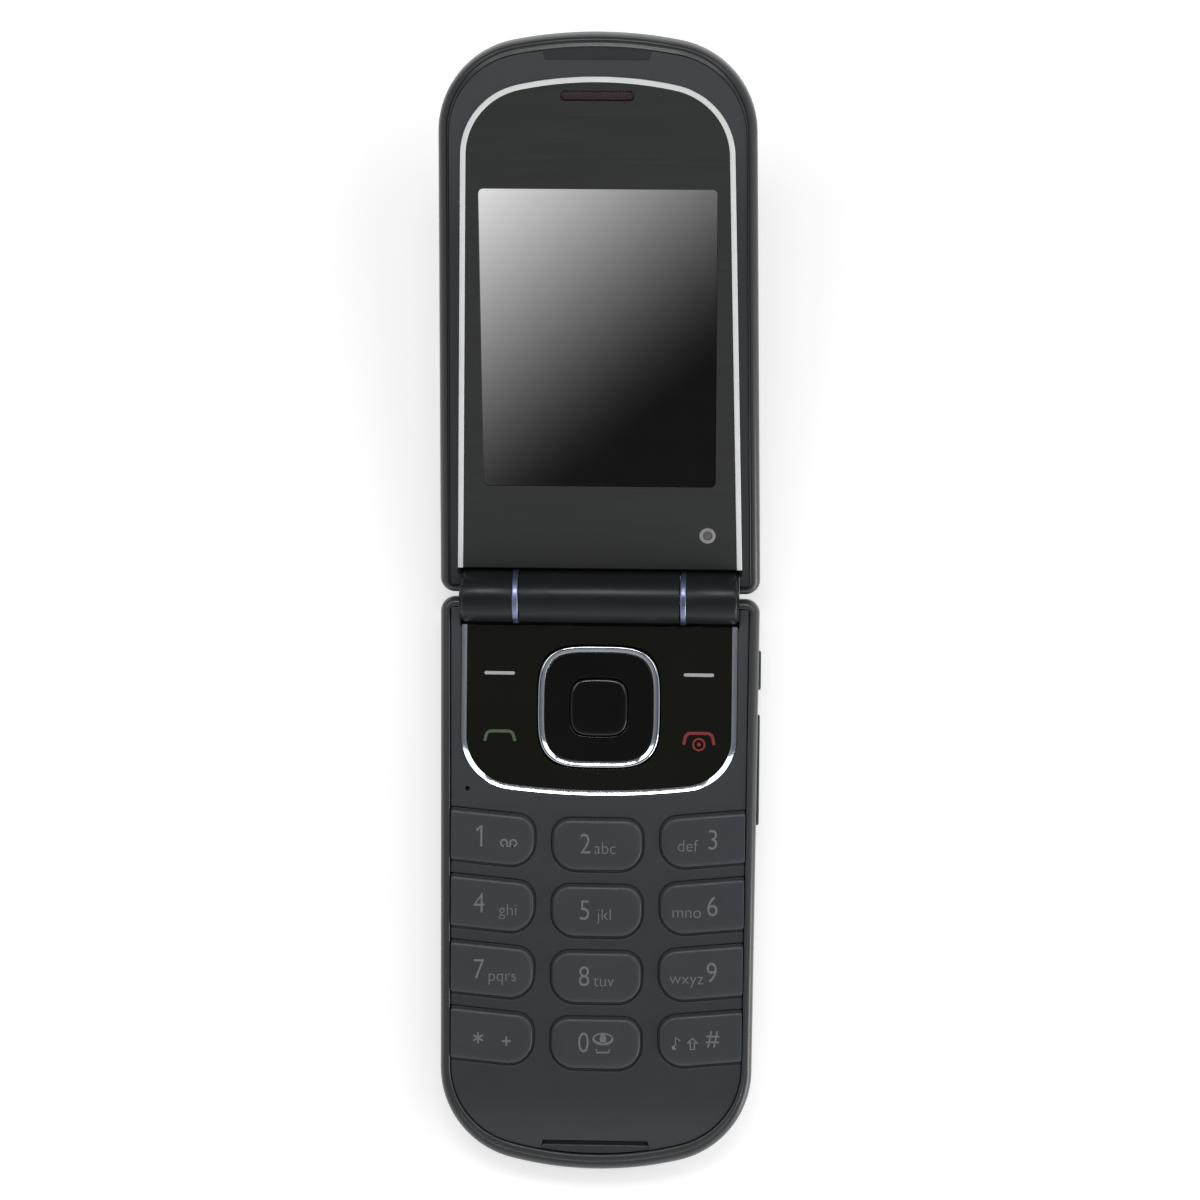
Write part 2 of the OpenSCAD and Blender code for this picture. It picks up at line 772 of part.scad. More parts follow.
module nav_pad() color("#0c0d0e") on_base() {
    difference() {
        prism(squircle(nav_w / 2 - nav_rim_w - nav_pad_gap, nav_y), plate_bottom, -panel_drop);
        prism(squircle(select_w / 2 + select_gap, select_y), plate_bottom - over, over);
    }
    for (p = nav_points()) post(p, nav_nub_r, nub_z, plate_bottom + nub_lap);
}

module select_key() color("#101112") on_base() {
    rounded_squircle(select_w / 2, select_y, select_edge, -panel_drop + select_proud);
    post([0, select_y], nub_r, nub_z, plate_bottom + nub_lap);
}

// A number key: rounded top, flange under the cover, and nub over its dome
module number_key(i) color("#3d4247") on_base() {
    loft(concat([key_outline(i, 0)], [for (e = key_edge) key_outline(i, -e[0], -e[0])]),
        concat([flange_z], [for (e = key_edge) -key_drop - e[1]]));
    prism(key_outline(i, flange_grow, -run_gap), flange_z - flange_t, flange_z);
    post(key_middle(i), nub_r, nub_z, flange_z);
}

// A key in the side wall: cap with bevelled ends, and flange behind the wall
module side_key(y, l) {
    back = cover_side_x(y + l / 2) - side_key_in;
    face = half_w - base_taper / 2 * y / base_reach + side_proud;
    bevel = side_proud / 3;
    difference() {
        translate([0, y, side_key_z]) rotate([0, 90, 0])
            prism(centred_box(side_key_h / 2, -l / 2, l / 2, side_key_r), back - seam, face);
        for (s = [-1, 1]) translate([face, y + s * l / 2, side_key_z])
            rotate([0, 0, s * side_bevel_turn]) block(-bevel, side_key_h, -side_key_h, side_key_h,
                -side_key_h, side_key_h);
    }
    block(back - side_flange_t, back, y - l / 2 - side_flange_t, y + l / 2 + side_flange_t,
        cavity_z + seam, side_flange_top);
}

module volume_rocker() color("#2c2f31") on_base() side_key(rocker_y, rocker_l);
module shutter_key() color("#2c2f31") on_base() side_key(shutter_y, shutter_l);

// Outline of the main board, rounder at the far end where the covers close in
function board_outline() =
    filleted([[-board_half, board_y], [board_half, board_y],
              [board_half, board_end], [-board_half, board_end]],
        [small_r, small_r, board_end_r, board_end_r]);

// Room in the boards for the screw bosses and the charging socket
module board_cutouts() {
    for (s = screw_spots) post(s, board_hole_r, cavity_z, 0);
    block(-half_w, -socket_in + seam, socket_y - socket_l / 2 - seam, socket_y + socket_l / 2 + seam,
        cavity_z, 0);
}

module dome_sheet() color("#c9b98a") on_base() {
    difference() {
        prism(centred_box(board_half - sheet_inset, board_y + 2 * sheet_inset, sheet_end, small_r),
            board_top, board_top + dome_sheet_t);
        board_cutouts();
    }
    for (p = press_points) translate([p[0], p[1], board_top + dome_sheet_t])
        cylinder(r1 = dome_r, r2 = dome_top_r, h = dome_h);
}

// Main board with the switches of the side keys on its right edge
module main_board() color("#1d5a35") on_base() {
    difference() {
        prism(board_outline(), board_top - board_t, board_top);
        board_cutouts();
    }
    for (y = [rocker_y - switch_spread, rocker_y + switch_spread, shutter_y])
        block(board_half - sheet_inset, half_w - rim_side - switch_in, y - switch_half, y + switch_half,
            board_top - board_t, board_top + switch_h);
}

module shield_can() color("#b8bbbd") on_base()
    prism(centred_box(can_half, can_y, can_end, small_r), cavity_z, board_top - board_t);

module battery() color("#44484b") on_base()
    prism(centred_box(battery_half, bay_y + bay_gap, battery_far_y, battery_r),
        door_z + seam + pocket_gap, bay_top - pocket_gap);

module battery_contacts() color("#d4b15a") on_base()
    for (x = contact_spots) block(x - contact_w / 2, x + contact_w / 2, contact_y, bay_y + bay_gap,
        contact_z, contact_z + contact_h);

module battery_cover() color("#2e3235") on_base() intersection() {
    base_shell();
    prism(centred_box(door_half, door_y, base_reach + door_past, door_r), -base_t - over, door_z);
}

module loudspeaker() color("#55585a") on_base()
    prism(centred_box(speaker_half, speaker_y, speaker_end_y, speaker_r), pocket_floor, speaker_top);

module vibration_motor() color("#9a9da0") on_base()
    translate([0, motor_y, pocket_floor + motor_r]) bar(motor_r, motor_x, motor_end_x);

module antenna() color("#6e6450") on_base()
    prism(rounded_box(-antenna_half, antenna_x, antenna_y, antenna_end_y, small_r),
        pocket_floor, bay_top);

module microphone() color("#b0b3b5") on_base() post([mic_x, mic_y], mic_r, cover_z - mic_t, cover_z);

module charging_socket() color("#a7abae") on_base() {
    mouth = cover_side_x(socket_y + socket_l / 2) - seam;
    difference() {
        block(-mouth, -socket_in, socket_y - socket_l / 2, socket_y + socket_l / 2, cavity_z, socket_top);
        block(-mouth - over, -socket_in - socket_wall, socket_y - socket_mouth_l / 2,
            socket_y + socket_mouth_l / 2, cavity_z + socket_wall, socket_top - socket_wall);
    }
    block(-mouth + over, -socket_in - socket_wall / 2, socket_y - socket_tongue_l / 2,
        socket_y + socket_tongue_l / 2, socket_tongue_z, socket_tongue_z + socket_wall);
}

module base_screws() color("#8d9092") on_base() for (s = screw_spots) {
    post(s, screw_head_r, screw_seat - screw_head_t, screw_seat);
    post(s, screw_r, screw_seat - nub_lap, screw_tip);
}

// Hinge

// A barrel end: turned cap with a bevelled outer edge
module barrel_end(bore, depth) difference() {
    l = barrel_half - base_barrel_x;
    rotate_extrude() polygon([[0, 0], [barrel_r, 0], [barrel_r, l - end_round_l],
        [barrel_r - end_bevel, l - end_step_l], [barrel_r - end_face_in, l], [0, l]]);
    translate([0, 0, -over]) cylinder(r = bore, h = depth + over);
}

// Foot that carries a barrel end inside the base
module barrel_foot() difference() {
    block(base_barrel_x + foot_in, barrel_half - end_face_in, foot_y0, foot_y1, cavity_z, foot_top);
    bar(barrel_r - foot_wall, 0, half_w);
}

module base_barrels() color("#262a2e") on_base() {
    translate([base_barrel_x, 0, 0]) rotate([0, 90, 0])
        barrel_end(shaft_head_r + run_gap, shaft_seat_l + seat_room);
    translate([-base_barrel_x, 0, 0]) rotate([0, -90, 0])
        barrel_end(barrel_bore_r, tube_seat_l + seat_room);
    for (side = [-1, 1]) on_side(side) barrel_foot();
}

module hinge_rings() color("#c9cdd6") on_base() for (side = [-1, 1]) on_side(side) difference() {
    bar(barrel_r + ring_proud, ring_x, ring_x + ring_w);
    bar(barrel_bore_r + run_gap, ring_x - over, ring_x + ring_w + over);
}

module hinge_shaft() color("#a9adb0") on_base() {
    bar(shaft_r, shaft_tip_x, base_barrel_x + seat_room);
    bar(shaft_head_r, base_barrel_x, base_barrel_x + shaft_seat_l);
    bar(cam_r, cam_x, cam_x + cam_l);
}

module pivot_tube() color("#8f9396") on_base() difference() {
    bar(barrel_bore_r - run_gap, -base_barrel_x - tube_seat_l, tube_end_x);
    bar(tube_bore_r, -half_w, tube_end_x + over);
}

module lid_barrel() color("#262a2e") on_lid() difference() {
    foot_half = mid_half - foot_in;
    union() {
        bar(barrel_r, -mid_half, mid_half);
        block(-foot_half, foot_half, foot_y0, lid_foot_y1, lid_foot_floor, lid_foot_top);
        for (side = [-1, 1]) on_side(side)
            block(foot_half - lid_leg_w, foot_half, lid_leg_y0, lid_foot_y1, lid_floor,
                lid_foot_floor + seam);
    }
    bar(barrel_bore_r, -mid_half - over, mid_half + over);
    block(flex_end_x - flex_w - flex_slot_gap, flex_end_x + flex_slot_gap, 0, lid_foot_y1 + over,
        flex_low - flex_slot_gap, flex_low + flex_t + flex_slot_gap);
}

module hinge_can() color("#979b9e") on_lid() difference() {
    bar(barrel_bore_r - run_gap, can_x, mid_half - seam);
    bar(can_bore_r, can_x + can_wall, mid_half - seam - can_wall);
    bar(shaft_r + run_gap, can_x + can_wall, mid_half + over);
}

module cam_follower() color("#b3b7ba") on_lid() difference() {
    bar(cam_r, follower_x, follower_x + follower_l);
    bar(shaft_r + run_gap, follower_x - over, follower_x + follower_l + over);
}

// Coil spring behind the cam, as one swept wire
module hinge_spring() color("#c4c8cb") on_lid() {
    n = spring_sides;
    count = spring_turns * spring_steps;
    x0 = can_x + can_wall + spring_wire_r + spring_end_gap;
    x1 = follower_x - spring_wire_r - spring_end_gap;
    rings = [for (k = [0 : count]) let (a = 360 * k / spring_steps, x = x0 + (x1 - x0) * k / count)
        [for (j = [0 : n - 1]) let (b = 360 * j / n, r = spring_coil_r + spring_wire_r * cos(b))
            [x + spring_wire_r * sin(b), r * cos(a), r * sin(a)]]];
    points = [for (ring = rings) for (p = ring) p];
    sides = [for (k = [0 : count - 1]) for (j = [0 : n - 1])
        let (a = k * n + j, b = k * n + (j + 1) % n)
        for (f = [[a, b + n, a + n], [a, b, b + n]]) f];
    polyhedron(points, concat(sides, [[for (j = [n - 1 : -1 : 0]) j]],
        [[for (j = [0 : n - 1]) count * n + j]]));
}

// Printed cable rolled inside the hinge, with its tongue to the lid
module hinge_flex() color("#b5762b") on_lid() {
    low = flex_low;
    roll = -flex_r;
    bend_y = flex_r + flex_bend;
    difference() {
        bar(flex_r, -base_barrel_x - flex_tail, flex_end_x);
        bar(flex_r - flex_t, -half_w, half_w);
    }
    translate([flex_end_x - flex_w, 0, 0]) rotate([90, 0, 90]) linear_extrude(flex_w)
        polygon([[-flex_t, roll], [3 * flex_t, roll], [bend_y, low], [flex_reach, low],
            [flex_reach, low + flex_t], [bend_y + flex_t / 2, low + flex_t],
            [3 * flex_t, roll + flex_t], [-flex_t, roll + flex_t]]);
}

// Lid

module lid_outer_cover() color("#2f3337") on_lid() {
    difference() {
        lid_shell();
        prism(lid_outline(rim_side, lid_rim_end), lid_floor, over);
        barrel_notch(lid_floor);
        prism(window_outline(0), -lid_t - over, -lid_t + window_t);
        prism(centred_box(window_half - window_lip_x, window_y + window_lip_y,
            window_end - window_lip_y, small_r), -lid_t - over, lid_floor + over);
        post([0, camera_y], camera_ring_r + seam, -lid_t - over, -lid_t + window_t);
        post([0, camera_y], camera_hole_r, -lid_t - over, lid_floor + over);
    }
    finger_tab(lid_reach - lid_rim_end + tab_lap, -lid_tab_in, 0, lid_floor - tab_sink,
        -cover_drop - lid_tab_drop);
    for (s = lid_screw_spots) difference() {
        post(s, lid_boss_r, lid_floor - tab_sink, flange_z);
        post(s, screw_r + run_gap, lid_thread_z - tab_sink, 0);
    }
}

module lid_inner_cover() color("#383d41") on_lid() difference() {
    prism(lid_outline(rim_side + seam, lid_rim_end + seam), flange_z, -cover_drop);
    cover_notch(flange_z, notch_y);
    prism(trim_outline(-pocket_gap), panel_z, over);
    prism(module_outline(module_gap), flange_z - over, over);
    block(video_x + video_box[0] - module_gap, video_x + video_box[1] + module_gap,
        video_y + video_box[2] - module_gap, video_y + video_box[3] + module_gap, flange_z - over, over);
    prism(earpiece_outline(earpiece_gap), flange_z - over, panel_z + seam);
    finger_tab(lid_reach - lid_rim_end + tab_lap, seam - lid_tab_in, seam, flange_z - over, over);
    for (s = lid_screw_spots) {
        post(s, screw_r + seam, flange_z - over, 0);
        post(s, lid_head_r + seam, lid_head_seat, 0);
    }
}

module display_trim() color("#dfe1e2") on_lid() difference() {
    prism(trim_outline(0), panel_z, -panel_drop + trim_proud);
    prism(trim_outline(trim_w), panel_z - over, over);
    cover_notch(panel_z, notch_y + seam);
}

module display_panel() color("#2b2d2e") on_lid() difference() {
    prism(trim_outline(trim_w + pocket_gap), panel_z, -panel_drop);
    cover_notch(panel_z, notch_y + seam);
    prism(display_outline(0), panel_z - over, over);
    prism(ear_slot_outline(0), panel_z - over, over);
    post([video_x, video_y], video_d / 2 + pocket_gap, panel_z - over, over);
}

module display_lens() color([0.1, 0.1, 0.11, 0.6]) on_lid()
    prism(display_outline(pocket_gap), panel_z, -panel_drop - lens_drop);

module main_display() color("#15171a") on_lid() prism(module_outline(0), module_z, panel_z);

module earpiece_mesh() color("#1a1a1b") on_lid()
    prism(ear_slot_outline(pocket_gap), panel_z, -panel_drop - mesh_drop);

module earpiece() color("#6b6e70") on_lid() prism(earpiece_outline(0), earpiece_z, panel_z);

module video_camera_ring() color("#b9bcbe") on_lid() difference() {
    post([video_x, video_y], video_d / 2, panel_z, -panel_drop + video_proud);
    post([video_x, video_y], video_d / 2 - video_ring_w, panel_z - over, over);
}

// Small camera with its lens standing in the ring
module video_camera() color("#232527") on_lid() {
    block(video_x + video_box[0], video_x + video_box[1], video_y + video_box[2],
        video_y + video_box[3], video_z, panel_z);
    post([video_x, video_y], video_d / 2 - video_ring_w - pocket_gap, panel_z - video_ring_w,
        -panel_drop - video_lens_drop);
}

module lid_board() color("#1d5a35") on_lid()
    prism(centred_box(lid_board_half, lid_board_y, lid_board_end, small_r),
        lid_board_z, lid_board_z + lid_board_t);

module outer_window() color("#0e0f11") on_lid()
    prism(window_outline(pocket_gap), -lid_t, -lid_t + window_t);

module outer_display() color("#1b1d20") on_lid()
    prism(centred_box(window_half - window_lip_x - module_gap, window_y + window_lip_y + module_gap,
        window_end - window_lip_y - module_gap, small_r), -lid_t + window_t, lid_board_z);

module camera_ring() color("#b4b8bb") on_lid() difference() {
    post([0, camera_y], camera_ring_r, -lid_t - camera_proud, -lid_t + window_t);
    post([0, camera_y], camera_glass_r, -lid_t - over, 0);
}

module camera_glass() color("#0f1114") on_lid()
    post([0, camera_y], camera_glass_r - pocket_gap, -lid_t + camera_glass_drop, -lid_t + window_t);

module camera_module() color("#202225") on_lid()
    post([0, camera_y], camera_body_r, -lid_t + window_t, lid_board_z);

module lid_screws() color("#8d9092") on_lid() for (s = lid_screw_spots) {
    post(s, lid_head_r, lid_head_seat, panel_z - seam);
    post(s, screw_r, lid_thread_z, lid_head_seat + nub_lap);
}

base_rear_cover();
base_front_cover();
bright_bow();
function_key_left();
function_key_right();
nav_rim();
nav_pad();
select_key();
for (i = [0 : 11]) number_key(i);
volume_rocker();
shutter_key();
dome_sheet();
main_board();
shield_can();
battery();
battery_contacts();
battery_cover();
loudspeaker();
vibration_motor();
antenna();
microphone();
charging_socket();
base_screws();
base_barrels();
hinge_rings();
hinge_shaft();
pivot_tube();
lid_barrel();
hinge_can();
cam_follower();
hinge_spring();
hinge_flex();
lid_outer_cover();
lid_inner_cover();
display_trim();
display_panel();
display_lens();
main_display();
earpiece_mesh();
earpiece();
video_camera_ring();
video_camera();
lid_board();
outer_window();
outer_display();
camera_module();
camera_ring();
camera_glass();
lid_screws();
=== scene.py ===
"""Folding phone, open and seen from the front: outer pieces, finishes, light and camera.

Pieces are drawn in the frame of their leaf, in millimetres: x across, y from the hinge axis to
the far end, z above the plane where the closed halves meet. ON_BASE and ON_LID put them in place.
"""
from math import acos, atan2, cos, degrees, hypot, pi, radians, sin, sqrt, tan

import bmesh
import bpy
from mathutils import Matrix, Vector


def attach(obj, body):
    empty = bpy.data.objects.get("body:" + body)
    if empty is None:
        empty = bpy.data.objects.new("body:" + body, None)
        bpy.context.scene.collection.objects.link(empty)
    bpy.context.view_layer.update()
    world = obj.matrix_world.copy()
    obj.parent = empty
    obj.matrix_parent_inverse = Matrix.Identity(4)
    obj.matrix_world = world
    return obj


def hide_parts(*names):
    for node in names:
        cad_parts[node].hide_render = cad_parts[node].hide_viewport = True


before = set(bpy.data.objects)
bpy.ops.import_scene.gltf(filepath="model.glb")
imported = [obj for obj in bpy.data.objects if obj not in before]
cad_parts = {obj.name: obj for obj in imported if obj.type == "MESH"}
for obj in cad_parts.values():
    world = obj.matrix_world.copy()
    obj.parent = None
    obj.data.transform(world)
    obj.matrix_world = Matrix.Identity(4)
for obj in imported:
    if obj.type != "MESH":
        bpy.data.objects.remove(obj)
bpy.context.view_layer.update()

# Frame of the leaves
MM = 0.001
BASE_REACH = 87.3
LID_REACH = 85.78
BASE_T = 9.4
LID_T = 6.9
LID_RISE = 20.0
HINGE = Vector((0, BASE_REACH / 2, BASE_T))
AT_HINGE = Matrix.Scale(MM, 4) @ Matrix.Translation(HINGE)
ON_BASE = AT_HINGE @ Matrix.Diagonal((1, -1, 1, 1))
ON_LID = AT_HINGE @ Matrix.Rotation(radians(LID_RISE), 4, "X")

# Covers
HALF_W = 24.2
BASE_TAPER = 1.0
LID_TAPER = 2.4
CORNER_R = 14.2
LID_CORNER_R = 13.6
END_R = 54.0
LID_END_R = 62.0
BASE_SHAPE = BASE_REACH, BASE_TAPER, CORNER_R, END_R
LID_SHAPE = LID_REACH, LID_TAPER, LID_CORNER_R, LID_END_R
EAR_R = 2.2
EAR_GAP = 0.1
BACK_TURN = 4.2
BELLY = 2.6
RIM_GAP = 0.25
RIM_SIDE = 1.5
RIM_END = 2.4
LID_RIM_END = 1.6
COVER_DROP = 0.45
COVER_T = 1.2
COVER_Z = -COVER_DROP - COVER_T
COVER_EDGE = 0.22
LID_COVER_EDGE = 0.08
NOTCH_R, SHOULDER_R = 0.3, 0.35
KEY_MOUTH_R = 0.25
EAR_MIN_R = 0.3
FLANGE_Z = COVER_Z - 0.1
SEAM = 0.1
FINE_SEAM = 0.03
CAVITY_Z = -4.4
LID_FLOOR = -5.6
TAB_HALF = 8.4
TAB_L = 1.9
TAB_LAP = 0.4
TAB_SLANT = 0.94
TAB_GAP = 0.6
TAB_BACK_GAP = 0.2
TAB_EDGE = 0.16
TAB_SINK = 0.3
TAB_STEPS = 24
LEDGE_GAP = 0.08
LEDGE_DROP = 1.4
LID_TAB_IN = 0.5
LID_TAB_DROP = 0.1
LID_TAB_EDGE = 0.05
OVER = 1.0

# Hinge
BARREL_R = 3.9
BARREL_GAP = 0.3
BARREL_HALF = 20.8
BASE_BARREL_X = 13.1
BARREL_BORE_R = 2.65
NOTCH_HALF = 21.1
NOTCH_Y = 4.35
RING_X = 12.2
RING_W = 0.9
RING_PROUD = 0.18
MID_HALF = 12.1

# Display side
TRIM_W = 0.8
TRIM_HALF = 21.45
TRIM_TAPER = 1.6
TRIM_REACH = 79.85
TRIM_R = 10.8
TRIM_PROUD = 0.1
PANEL_DROP = 0.4
PANEL_Z = -1.2
PANEL_EDGE = 0.07
POCKET_GAP = 0.05
DISPLAY_HALF = 17.35
DISPLAY_Y = 17.6
DISPLAY_END = 63.3
DISPLAY_R = 0.8
LENS_TOP = -0.48
LENS_EDGE = 0.06
EAR_SLOT_HALF = 5.3
EAR_SLOT_Y = 77.05
EAR_SLOT_H = 1.55
EAR_SLOT_R = 0.71
EAR_MESH_TOP = -0.75
VIDEO_SPOT = (16.2, 9.9)
VIDEO_R = 1.25
VIDEO_RING_W = 0.55
VIDEO_LEFT, VIDEO_RIGHT, VIDEO_NEAR, VIDEO_FAR = 3.0, 1.8, 2.6, 2.4
VIDEO_ROOM = 0.3
VIDEO_FLOOR = -3.0
DISPLAY_ROOM = 0.85
DISPLAY_NEAR_ROOM = 4.2
DISPLAY_FAR_ROOM = 2.9
WINDOW_HALF = 13.5
WINDOW_Y = 26.0
WINDOW_END = 57.8
WINDOW_R = 3.0
WINDOW_T = 0.75
WINDOW_LIP_X = 2.0
WINDOW_LIP_Y = 3.0
WINDOW_OPENING_R = 0.8
WINDOW_EDGE = 0.2
CAMERA_SPOT = (0.0, 67.3)
CAMERA_RING_R = 5.2
CAMERA_GLASS_R = 3.6
CAMERA_PROUD = 0.15
CAMERA_ROOM = 0.6

# Keys
KEY_NAMES = ["key_1", "key_2", "key_3", "key_4", "key_5", "key_6",
             "key_7", "key_8", "key_9", "key_star", "key_0", "key_hash"]
ROW_Y = 37.65
ROW_PITCH = (BASE_REACH - 19.38 - ROW_Y) / 3
KEY_H = ROW_PITCH - 2.34
KEY_R = KEY_H * 0.335
KEY_LOW_R = KEY_H * 0.46
KEY_SIDE_R = 0.35
MID_KEY_HALF = 2 * HALF_W * 0.278 / 2
SIDE_KEY_X = MID_KEY_HALF + 2.94
ROW_BEND_R = 178.0
KEY_GAP = 0.3
KEY_TOP = -0.05
FUNCTION_GAP = 0.01
FUNCTION_TOP = -0.4
PLATE_BOTTOM = -1.5
NAV_HALF = 9.25
NAV_RIM_W = 0.92
NAV_Y = 16.65
NAV_GAP = 0.2
NAV_PAD_EDGE = 0.1
FUNCTION_EDGE = 0.02
SELECT_HALF = 4.35
SELECT_Y = 16.7
SELECT_GAP = 0.15
SELECT_TOP = -0.18
BOW_W = 0.76
BOW_HALF = 20.85
BOW_REACH = 30.1
BOW_R = 8.1
BOW_END_R = 115.0
BOW_TOP = -0.2
BOW_SEAM = 0.12
BOW_LEDGE = 0.6
ROCKER_Y, ROCKER_L = 26.15, 16.9
SHUTTER_Y, SHUTTER_L = 11.0, 6.0
SIDE_KEY_Z = -3.4
SIDE_KEY_H = 1.8
SIDE_KEY_R = 0.7
SIDE_PROUD = 0.35
SIDE_EDGE = 0.3
SIDE_BACK = 0.25
SIDE_FLANGE = 0.4
SIDE_FLANGE_TOP = -2.72
MIC_SPOT = (-19.9, 29.3)
MIC_R = 0.33

# Back of the base
BAY_HALF, BAY_Y, BAY_END, BAY_TOP, BAY_R = 17.25, 31.5, 72.8, -5.0, 1.0
DOOR_HALF, DOOR_Y, DOOR_END, DOOR_Z, DOOR_R = 19.5, 24.0, 98.3, -8.4, 2.0
POCKET_HALF, POCKET_Y, POCKET_END, POCKET_FLOOR = 19.0, 9.0, 25.0, -8.2
GRILLE_SLOTS = [-4, -2, 0, 2, 4]
GRILLE_W, GRILLE_Y, GRILLE_END, GRILLE_R = 0.8, 13.0, 21.0, 0.38
CONTACT_SPOTS = [-3, 0, 3]
CONTACT_HALF, CONTACT_Y, CONTACT_Z, CONTACT_TOP = 0.7, 24.0, -6.7, -5.5
SCREW_SPOTS = [(side * x, y) for side in (-1, 1) for x, y in ((17.9, 29.2), (16.0, 77.3))]
SCREW_SEAT = -5.6
SCREW_R = 0.5
SCREW_HEAD_R = 1.25
SCREW_WELL_R = 1.4
BOSS_R = 1.2
BOSS_SINK = 0.3
LID_SCREW_SPOTS = [(side * x, y) for side in (-1, 1) for x, y in ((19.2, 14.6), (18.4, 68.3))]
SOCKET_Y, SOCKET_L = 12.6, 6.8


# Outlines

def arc(centre, r, start, end, n, open_end=False):
    """Points on an arc between two angles in degrees, without the last one where open_end is true."""
    steps = range(n if open_end else n + 1)
    turns = [radians(start + (end - start) * i / n) for i in steps]
    return [(centre[0] + r * cos(a), centre[1] + r * sin(a)) for a in turns]


def mirrored(half):
    """The left half that belongs to a right half, in running order."""
    return [(-x, y) for x, y in reversed(half)]


def leaf_side(w, tip, reach, rc, re, start):
    """Right side of a leaf from the round corner to the middle of the far end."""
    corner_x = tip - rc
    end_y = reach - re
    corner_y = end_y + sqrt((re - rc) ** 2 - corner_x ** 2)
    from_ear = (w - corner_x, start - corner_y)
    lean = degrees(atan2(from_ear[1], from_ear[0]) + acos(rc / hypot(*from_ear)))
    join = degrees(atan2(corner_y - end_y, corner_x))
    corner = arc((corner_x, corner_y), rc, lean, join, 24, open_end=True)
    return corner + arc((0, end_y), re, join, 90, 24, open_end=True)


def leaf_outline(w, tip, reach, rc, re, start, ear):
    """Whole outline of a leaf, anticlockwise, with small round ears by the hinge."""
    half = arc((w - ear, start + ear), ear, -90, 0, 8) + leaf_side(w, tip, reach, rc, re, start)
    return half + [(0, reach)] + mirrored(half)


def body_sizes(shape, side, end):
    """Sizes of the base or lid outline, set in by side along the sides and by end at the far end."""
    reach, taper, corner, far = shape
    return (HALF_W - side, HALF_W - taper / 2 - side, reach - end,
            corner - (side + end) / 2, far - end, EAR_GAP + side)


def base_outline(side, end):
    return leaf_outline(*body_sizes(BASE_SHAPE, side, end), max(EAR_R - side, EAR_MIN_R))


def lid_outline(side, end):
    return leaf_outline(*body_sizes(LID_SHAPE, side, end), max(EAR_R - side, EAR_MIN_R))


def trim_sizes(inset, start):
    return (TRIM_HALF - inset, TRIM_HALF - TRIM_TAPER - inset, TRIM_REACH - inset,
            TRIM_R - inset, END_R - inset, start)


def bow_sizes(inset, start):
    return BOW_HALF - inset, BOW_HALF - inset, BOW_REACH - inset, BOW_R - inset, BOW_END_R - inset, start


def open_bow(sizes):
    """A line that runs from the hinge down the left side, round the far end and back up the right side."""
    right = [(sizes[0], sizes[-1])] + leaf_side(*sizes)
    return [(-x, y) for x, y in right] + right[::-1]


def squircle(half, y, n=160, power=3.8):
    """Rounded square whose sides swell."""
    points = []
    for i in range(n):
        c, s = cos(2 * pi * i / n), sin(2 * pi * i / n)
        reach_x = abs(c) ** (2 / power) * (1 if c > 0 else -1)
        reach_y = abs(s) ** (2 / power) * (1 if s > 0 else -1)
        points.append((half * reach_x, y + half * reach_y))
    return points


def fillet(p, a, b, r, n=10):
    """Round corner at p between its neighbours a and b."""
    p, a, b = Vector(p), Vector(a), Vector(b)
    u, v = (a - p).normalized(), (b - p).normalized()
    half = acos(max(-1, min(1, u.dot(v)))) / 2
    centre = p + (u + v).normalized() * r / sin(half)
    s = p + u * r / tan(half) - centre
    e = p + v * r / tan(half) - centre
    start = atan2(s.y, s.x)
    sweep = (atan2(e.y, e.x) - start + 3 * pi) % (2 * pi) - pi
    return arc(centre, r, degrees(start), degrees(start + sweep), n)


def filleted(corners):
    """Outline from (x, y, radius) corners; a radius of 0 leaves the point as it is."""
    points = []
    for i, (x, y, r) in enumerate(corners):
        if r:
            points += fillet((x, y), corners[i - 1][:2], corners[(i + 1) % len(corners)][:2], r)
        else:
            points.append((x, y))
    return points


def rounded_box(x0, x1, y0, y1, r):
    return filleted([(x0, y0, r), (x1, y0, r), (x1, y1, r), (x0, y1, r)])


def circle(spot, r, n=48):
    return arc(spot, r, 0, 360, n, open_end=True)


def oval(spot, half_x, half_y, n=48):
    return [(spot[0] + half_x * x, spot[1] + half_y * y) for x, y in circle((0, 0), 1, n)]


def offset(loop, d):
    """The loop moved to its left by d: inwards on an anticlockwise one."""
    moved = []
    for i, p in enumerate(loop):
        p = Vector(p)
        before = (p - Vector(loop[i - 1])).normalized()
        after = (Vector(loop[(i + 1) % len(loop)]) - p).normalized()
        left = Vector((-before.y - after.y, before.x + after.x))
        left.normalize()
        reach = d / max(0.3, left.dot(Vector((-before.y, before.x))))
        moved.append((p.x + left.x * reach, p.y + left.y * reach))
    return moved


def cover_side_x(y):
    """Half-width of the room for the front cover at distance y from the hinge."""
    return HALF_W - RIM_SIDE - BASE_TAPER / 2 * y / (BASE_REACH - RIM_END - CORNER_R)


def row_rise(x):
    """How far the key rows have come towards the hinge at x."""
    return x * x / (2 * ROW_BEND_R)


def side_key_corners(row, grow, out):
    """Corners of a right-hand key: near the hinge inside and outside, then far outside and inside."""
    y = ROW_Y + row * ROW_PITCH
    h = KEY_H / 2 + grow
    x_in, x_out = SIDE_KEY_X - grow, cover_side_x(y) - SEAM + out
    y_in, y_out = y - row_rise(x_in), y - row_rise(x_out)
    return (x_in, y_in - h), (x_out, y_out - h), (x_out, y_out + h), (x_in, y_in + h)


